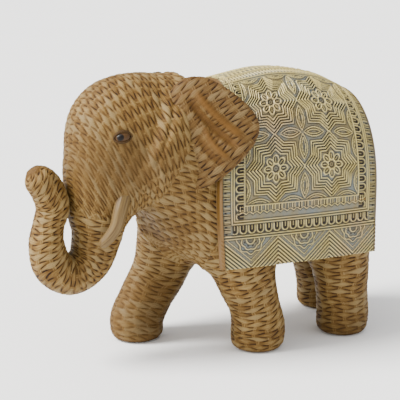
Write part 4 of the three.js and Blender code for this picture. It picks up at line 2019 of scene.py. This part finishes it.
@dataclass
class Studio:
    """A pale floor, soft lights and the camera.

    Attributes:
        aim: The point the camera looks at, from the middle of the object's base.
        azimuth: The camera's turn, where 0 looks along +Y.
        elevation: Its height above the horizon.
        distance: How far it stands from aim.
        lens: Its focal length over a 36 mm sensor.
        key_colour: The key light's colour.
        surround: How bright the surround is.
    """

    aim: tuple[float, float, float] = (-0.0054, 0.005, 0.1)
    azimuth: float = math.radians(-29.5)
    elevation: float = math.radians(12.5)
    distance: float = 0.8
    lens: float = 104.4
    key_colour: Colour = (1.0, 0.985, 0.955)
    surround: float = 1.12

    def camera(self) -> None:
        """Puts the camera at aim + back * distance, looking along -back."""
        level = math.cos(self.elevation)
        back = Vector(
            (math.sin(self.azimuth) * level, -math.cos(self.azimuth) * level, math.sin(self.elevation))
        )
        data = bpy.data.cameras.new("camera")
        data.lens = self.lens
        data.sensor_width = 36.0
        camera = bpy.data.objects.new("camera", data)
        bpy.context.scene.collection.objects.link(camera)
        camera.location = Vector(self.aim) + back * self.distance
        camera.rotation_mode = "QUATERNION"
        camera.rotation_quaternion = (-back).to_track_quat("-Z", "Y")
        bpy.context.scene.camera = camera

    def sun(self, towards: tuple[float, float, float], strength: float, spread: float) -> None:
        """Adds a distant soft light.

        Args:
            towards: The direction from the object to the light.
            strength: Its strength.
            spread: The angle that it fills, in degrees; a wide one gives soft shadows.
        """
        data = bpy.data.lights.new("key", "SUN")
        data.energy, data.angle, data.color = strength, math.radians(spread), self.key_colour
        lamp = bpy.data.objects.new("key", data)
        bpy.context.scene.collection.objects.link(lamp)
        lamp.rotation_mode = "QUATERNION"
        lamp.rotation_quaternion = (-Vector(towards)).to_track_quat("-Z", "Y")

    def light(
        self,
        name: str,
        at: tuple[float, float, float],
        size: float,
        power: float,
        colour: Colour = (1.0, 1.0, 1.0),
    ) -> None:
        """Adds a square area light that faces the object.

        Args:
            name: The light's name.
            at: Where it stands, in metres.
            size: Its side, in metres.
            power: Its power, in watts.
            colour: Its colour.
        """
        data = bpy.data.lights.new(name, "AREA")
        data.size, data.energy, data.color = size, power, colour
        lamp = bpy.data.objects.new(name, data)
        bpy.context.scene.collection.objects.link(lamp)
        lamp.location = at
        lamp.rotation_mode = "QUATERNION"
        lamp.rotation_quaternion = (Vector((0, 0, 0.1)) - Vector(at)).to_track_quat("-Z", "Y")

    def floor(self) -> None:
        """Adds the floor, 18 m square, with a faint unevenness in its paint."""
        mesh = bpy.data.meshes.new("floor")
        mesh.from_pydata([(-9, -9, 0), (9, -9, 0), (9, 9, 0), (-9, 9, 0)], [], [(0, 1, 2, 3)])
        floor = bpy.data.objects.new("floor", mesh)
        bpy.context.scene.collection.objects.link(floor)
        n = Nodes("floor_paint")
        cloud = n.noise(n.place(Coordinates.OBJECT), 3.0)
        mesh.materials.append(n.finish(n.mix(cloud, (0.92, 0.92, 0.92), (0.95, 0.95, 0.95)), 0.8))

    def world(self) -> None:
        """Sets an even, nearly white surround."""
        world = bpy.data.worlds.new("surround")
        world.use_nodes = True
        background = world.node_tree.nodes["Background"]
        background.inputs["Color"].default_value = (1.0, 1.0, 1.0, 1.0)
        background.inputs["Strength"].default_value = self.surround
        bpy.context.scene.world = world

    def build(self) -> None:
        """Builds the camera, the lights, the floor and the surround."""
        self.camera()
        self.sun((-0.66, 0.18, 0.74), 8.4, 26.0)
        self.light("fill", (0.9, -1.2, 0.6), 0.9, 2.6)
        self.light("side", (-1.4, -0.1, 0.3), 0.8, 9.0, (1.0, 0.97, 0.9))
        self.floor()
        self.world()


class Elephant:
    """The whole figurine, built in order from the body outwards."""

    def build(self) -> None:
        """Builds every piece and dresses the CAD nodes that stay."""
        cane = CanePaint("cane_paint").material()
        self.body(cane)
        self.head(cane)
        self.tail(cane)
        ear = CanePaint(
            "ear_paint",
            shade=(0.06, 0.027, 0.004),
            strand=(0.083, 0.042, 0.0083),
            crest=(0.132, 0.08, 0.0255),
            warm=(0.11, 0.048, 0.006),
        ).material()
        tusk, eye = TuskPaint().material(), EyePaint().material()
        for side in Side:
            Ear(side).build(ear)
            Tusk(side).build(tusk)
            Eye(side).build(eye, cane)
        Blanket().build(Gilding().material())
        self.pads(Felt().material())

    def body(self, cane: bpy.types.Material) -> None:
        """Builds the torso's two stretches and the legs.

        Args:
            cane: The paint over the weave.
        """
        WovenTorso("chest_and_shoulders", (0.62, 1.0), (150, 620)).build(cane)
        WovenTorso("belly_and_rump", (0.0, 0.622), (170, 420)).build(cane)
        for seed, (name, limb) in enumerate(LEGS.items()):
            WovenLimb(
                f"{name}_woven", (name,), limb, row=2.95, stakes=((0.0, 12),), neighbours=[TORSO],
                grid=(270, 192), weave=Weave(seed=2.0 + seed), fillet=20.0, even=0.6, level=0.5,
                wash=DARK_PATCHES.get(name),
            ).build(cane)

    def head(self, cane: bpy.types.Material) -> None:
        """Builds the head, the trunk and the lower jaw, which overlap a little.

        Args:
            cane: The paint over the weave.
        """
        # The head's wash is painted shade on the cheeks, where the light falls less, as well as some darker
        # wash.
        WovenLimb(
            "head_woven", ("head_with_trunk",), HEAD, row=2.3, stakes=STAKES, neighbours=[TORSO],
            span=(0.0, 0.42), grid=(338, 292), weave=Weave(relief=1.05, seed=6.0), fillet=26.0,
            end=0.0, even=0.6, level=0.1, wash=(-78.0, 136.0, 35.0, 27.0),
        ).build(cane)
        WovenLimb(
            "trunk_woven", ("head_with_trunk",), HEAD, row=2.6, stakes=STAKES, span=(0.415, 1.0),
            grid=(420, 170), weave=Weave(relief=0.85, seed=7.0), end=2.0, even=0.15, level=0.42,
        ).build(cane)
        WovenLimb(
            "jaw_woven", ("head_with_trunk",), JAW, row=2.3, stakes=((0.0, 10),), neighbours=[HEAD],
            grid=(150, 120), weave=Weave(relief=0.6, seed=8.0), fillet=7.0, end=2.0,
        ).build(cane)

    def tail(self, cane: bpy.types.Material) -> None:
        """Builds the tail, which hangs against the rump.

        Args:
            cane: The paint over the weave.
        """
        WovenLimb(
            "tail_woven", ("tail",), TAIL, row=2.2, stakes=((0.0, 6),), grid=(260, 64),
            weave=Weave(relief=0.5, seed=3.0), end=8.0,
        ).build(cane)

    def pads(self, felt: bpy.types.Material) -> None:
        """Dresses the CAD's felt pads, which stay as they are.

        Args:
            felt: The pads' material.
        """
        for name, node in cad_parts.items():
            if name.startswith("felt_pad"):
                node.data.materials.clear()
                node.data.materials.append(felt)


def main() -> None:
    """Builds the studio and the figurine."""
    logging.basicConfig(level=logging.INFO, format="%(name)s: %(message)s")
    Studio().build()
    Elephant().build()


if __name__ == "__main__":
    main()
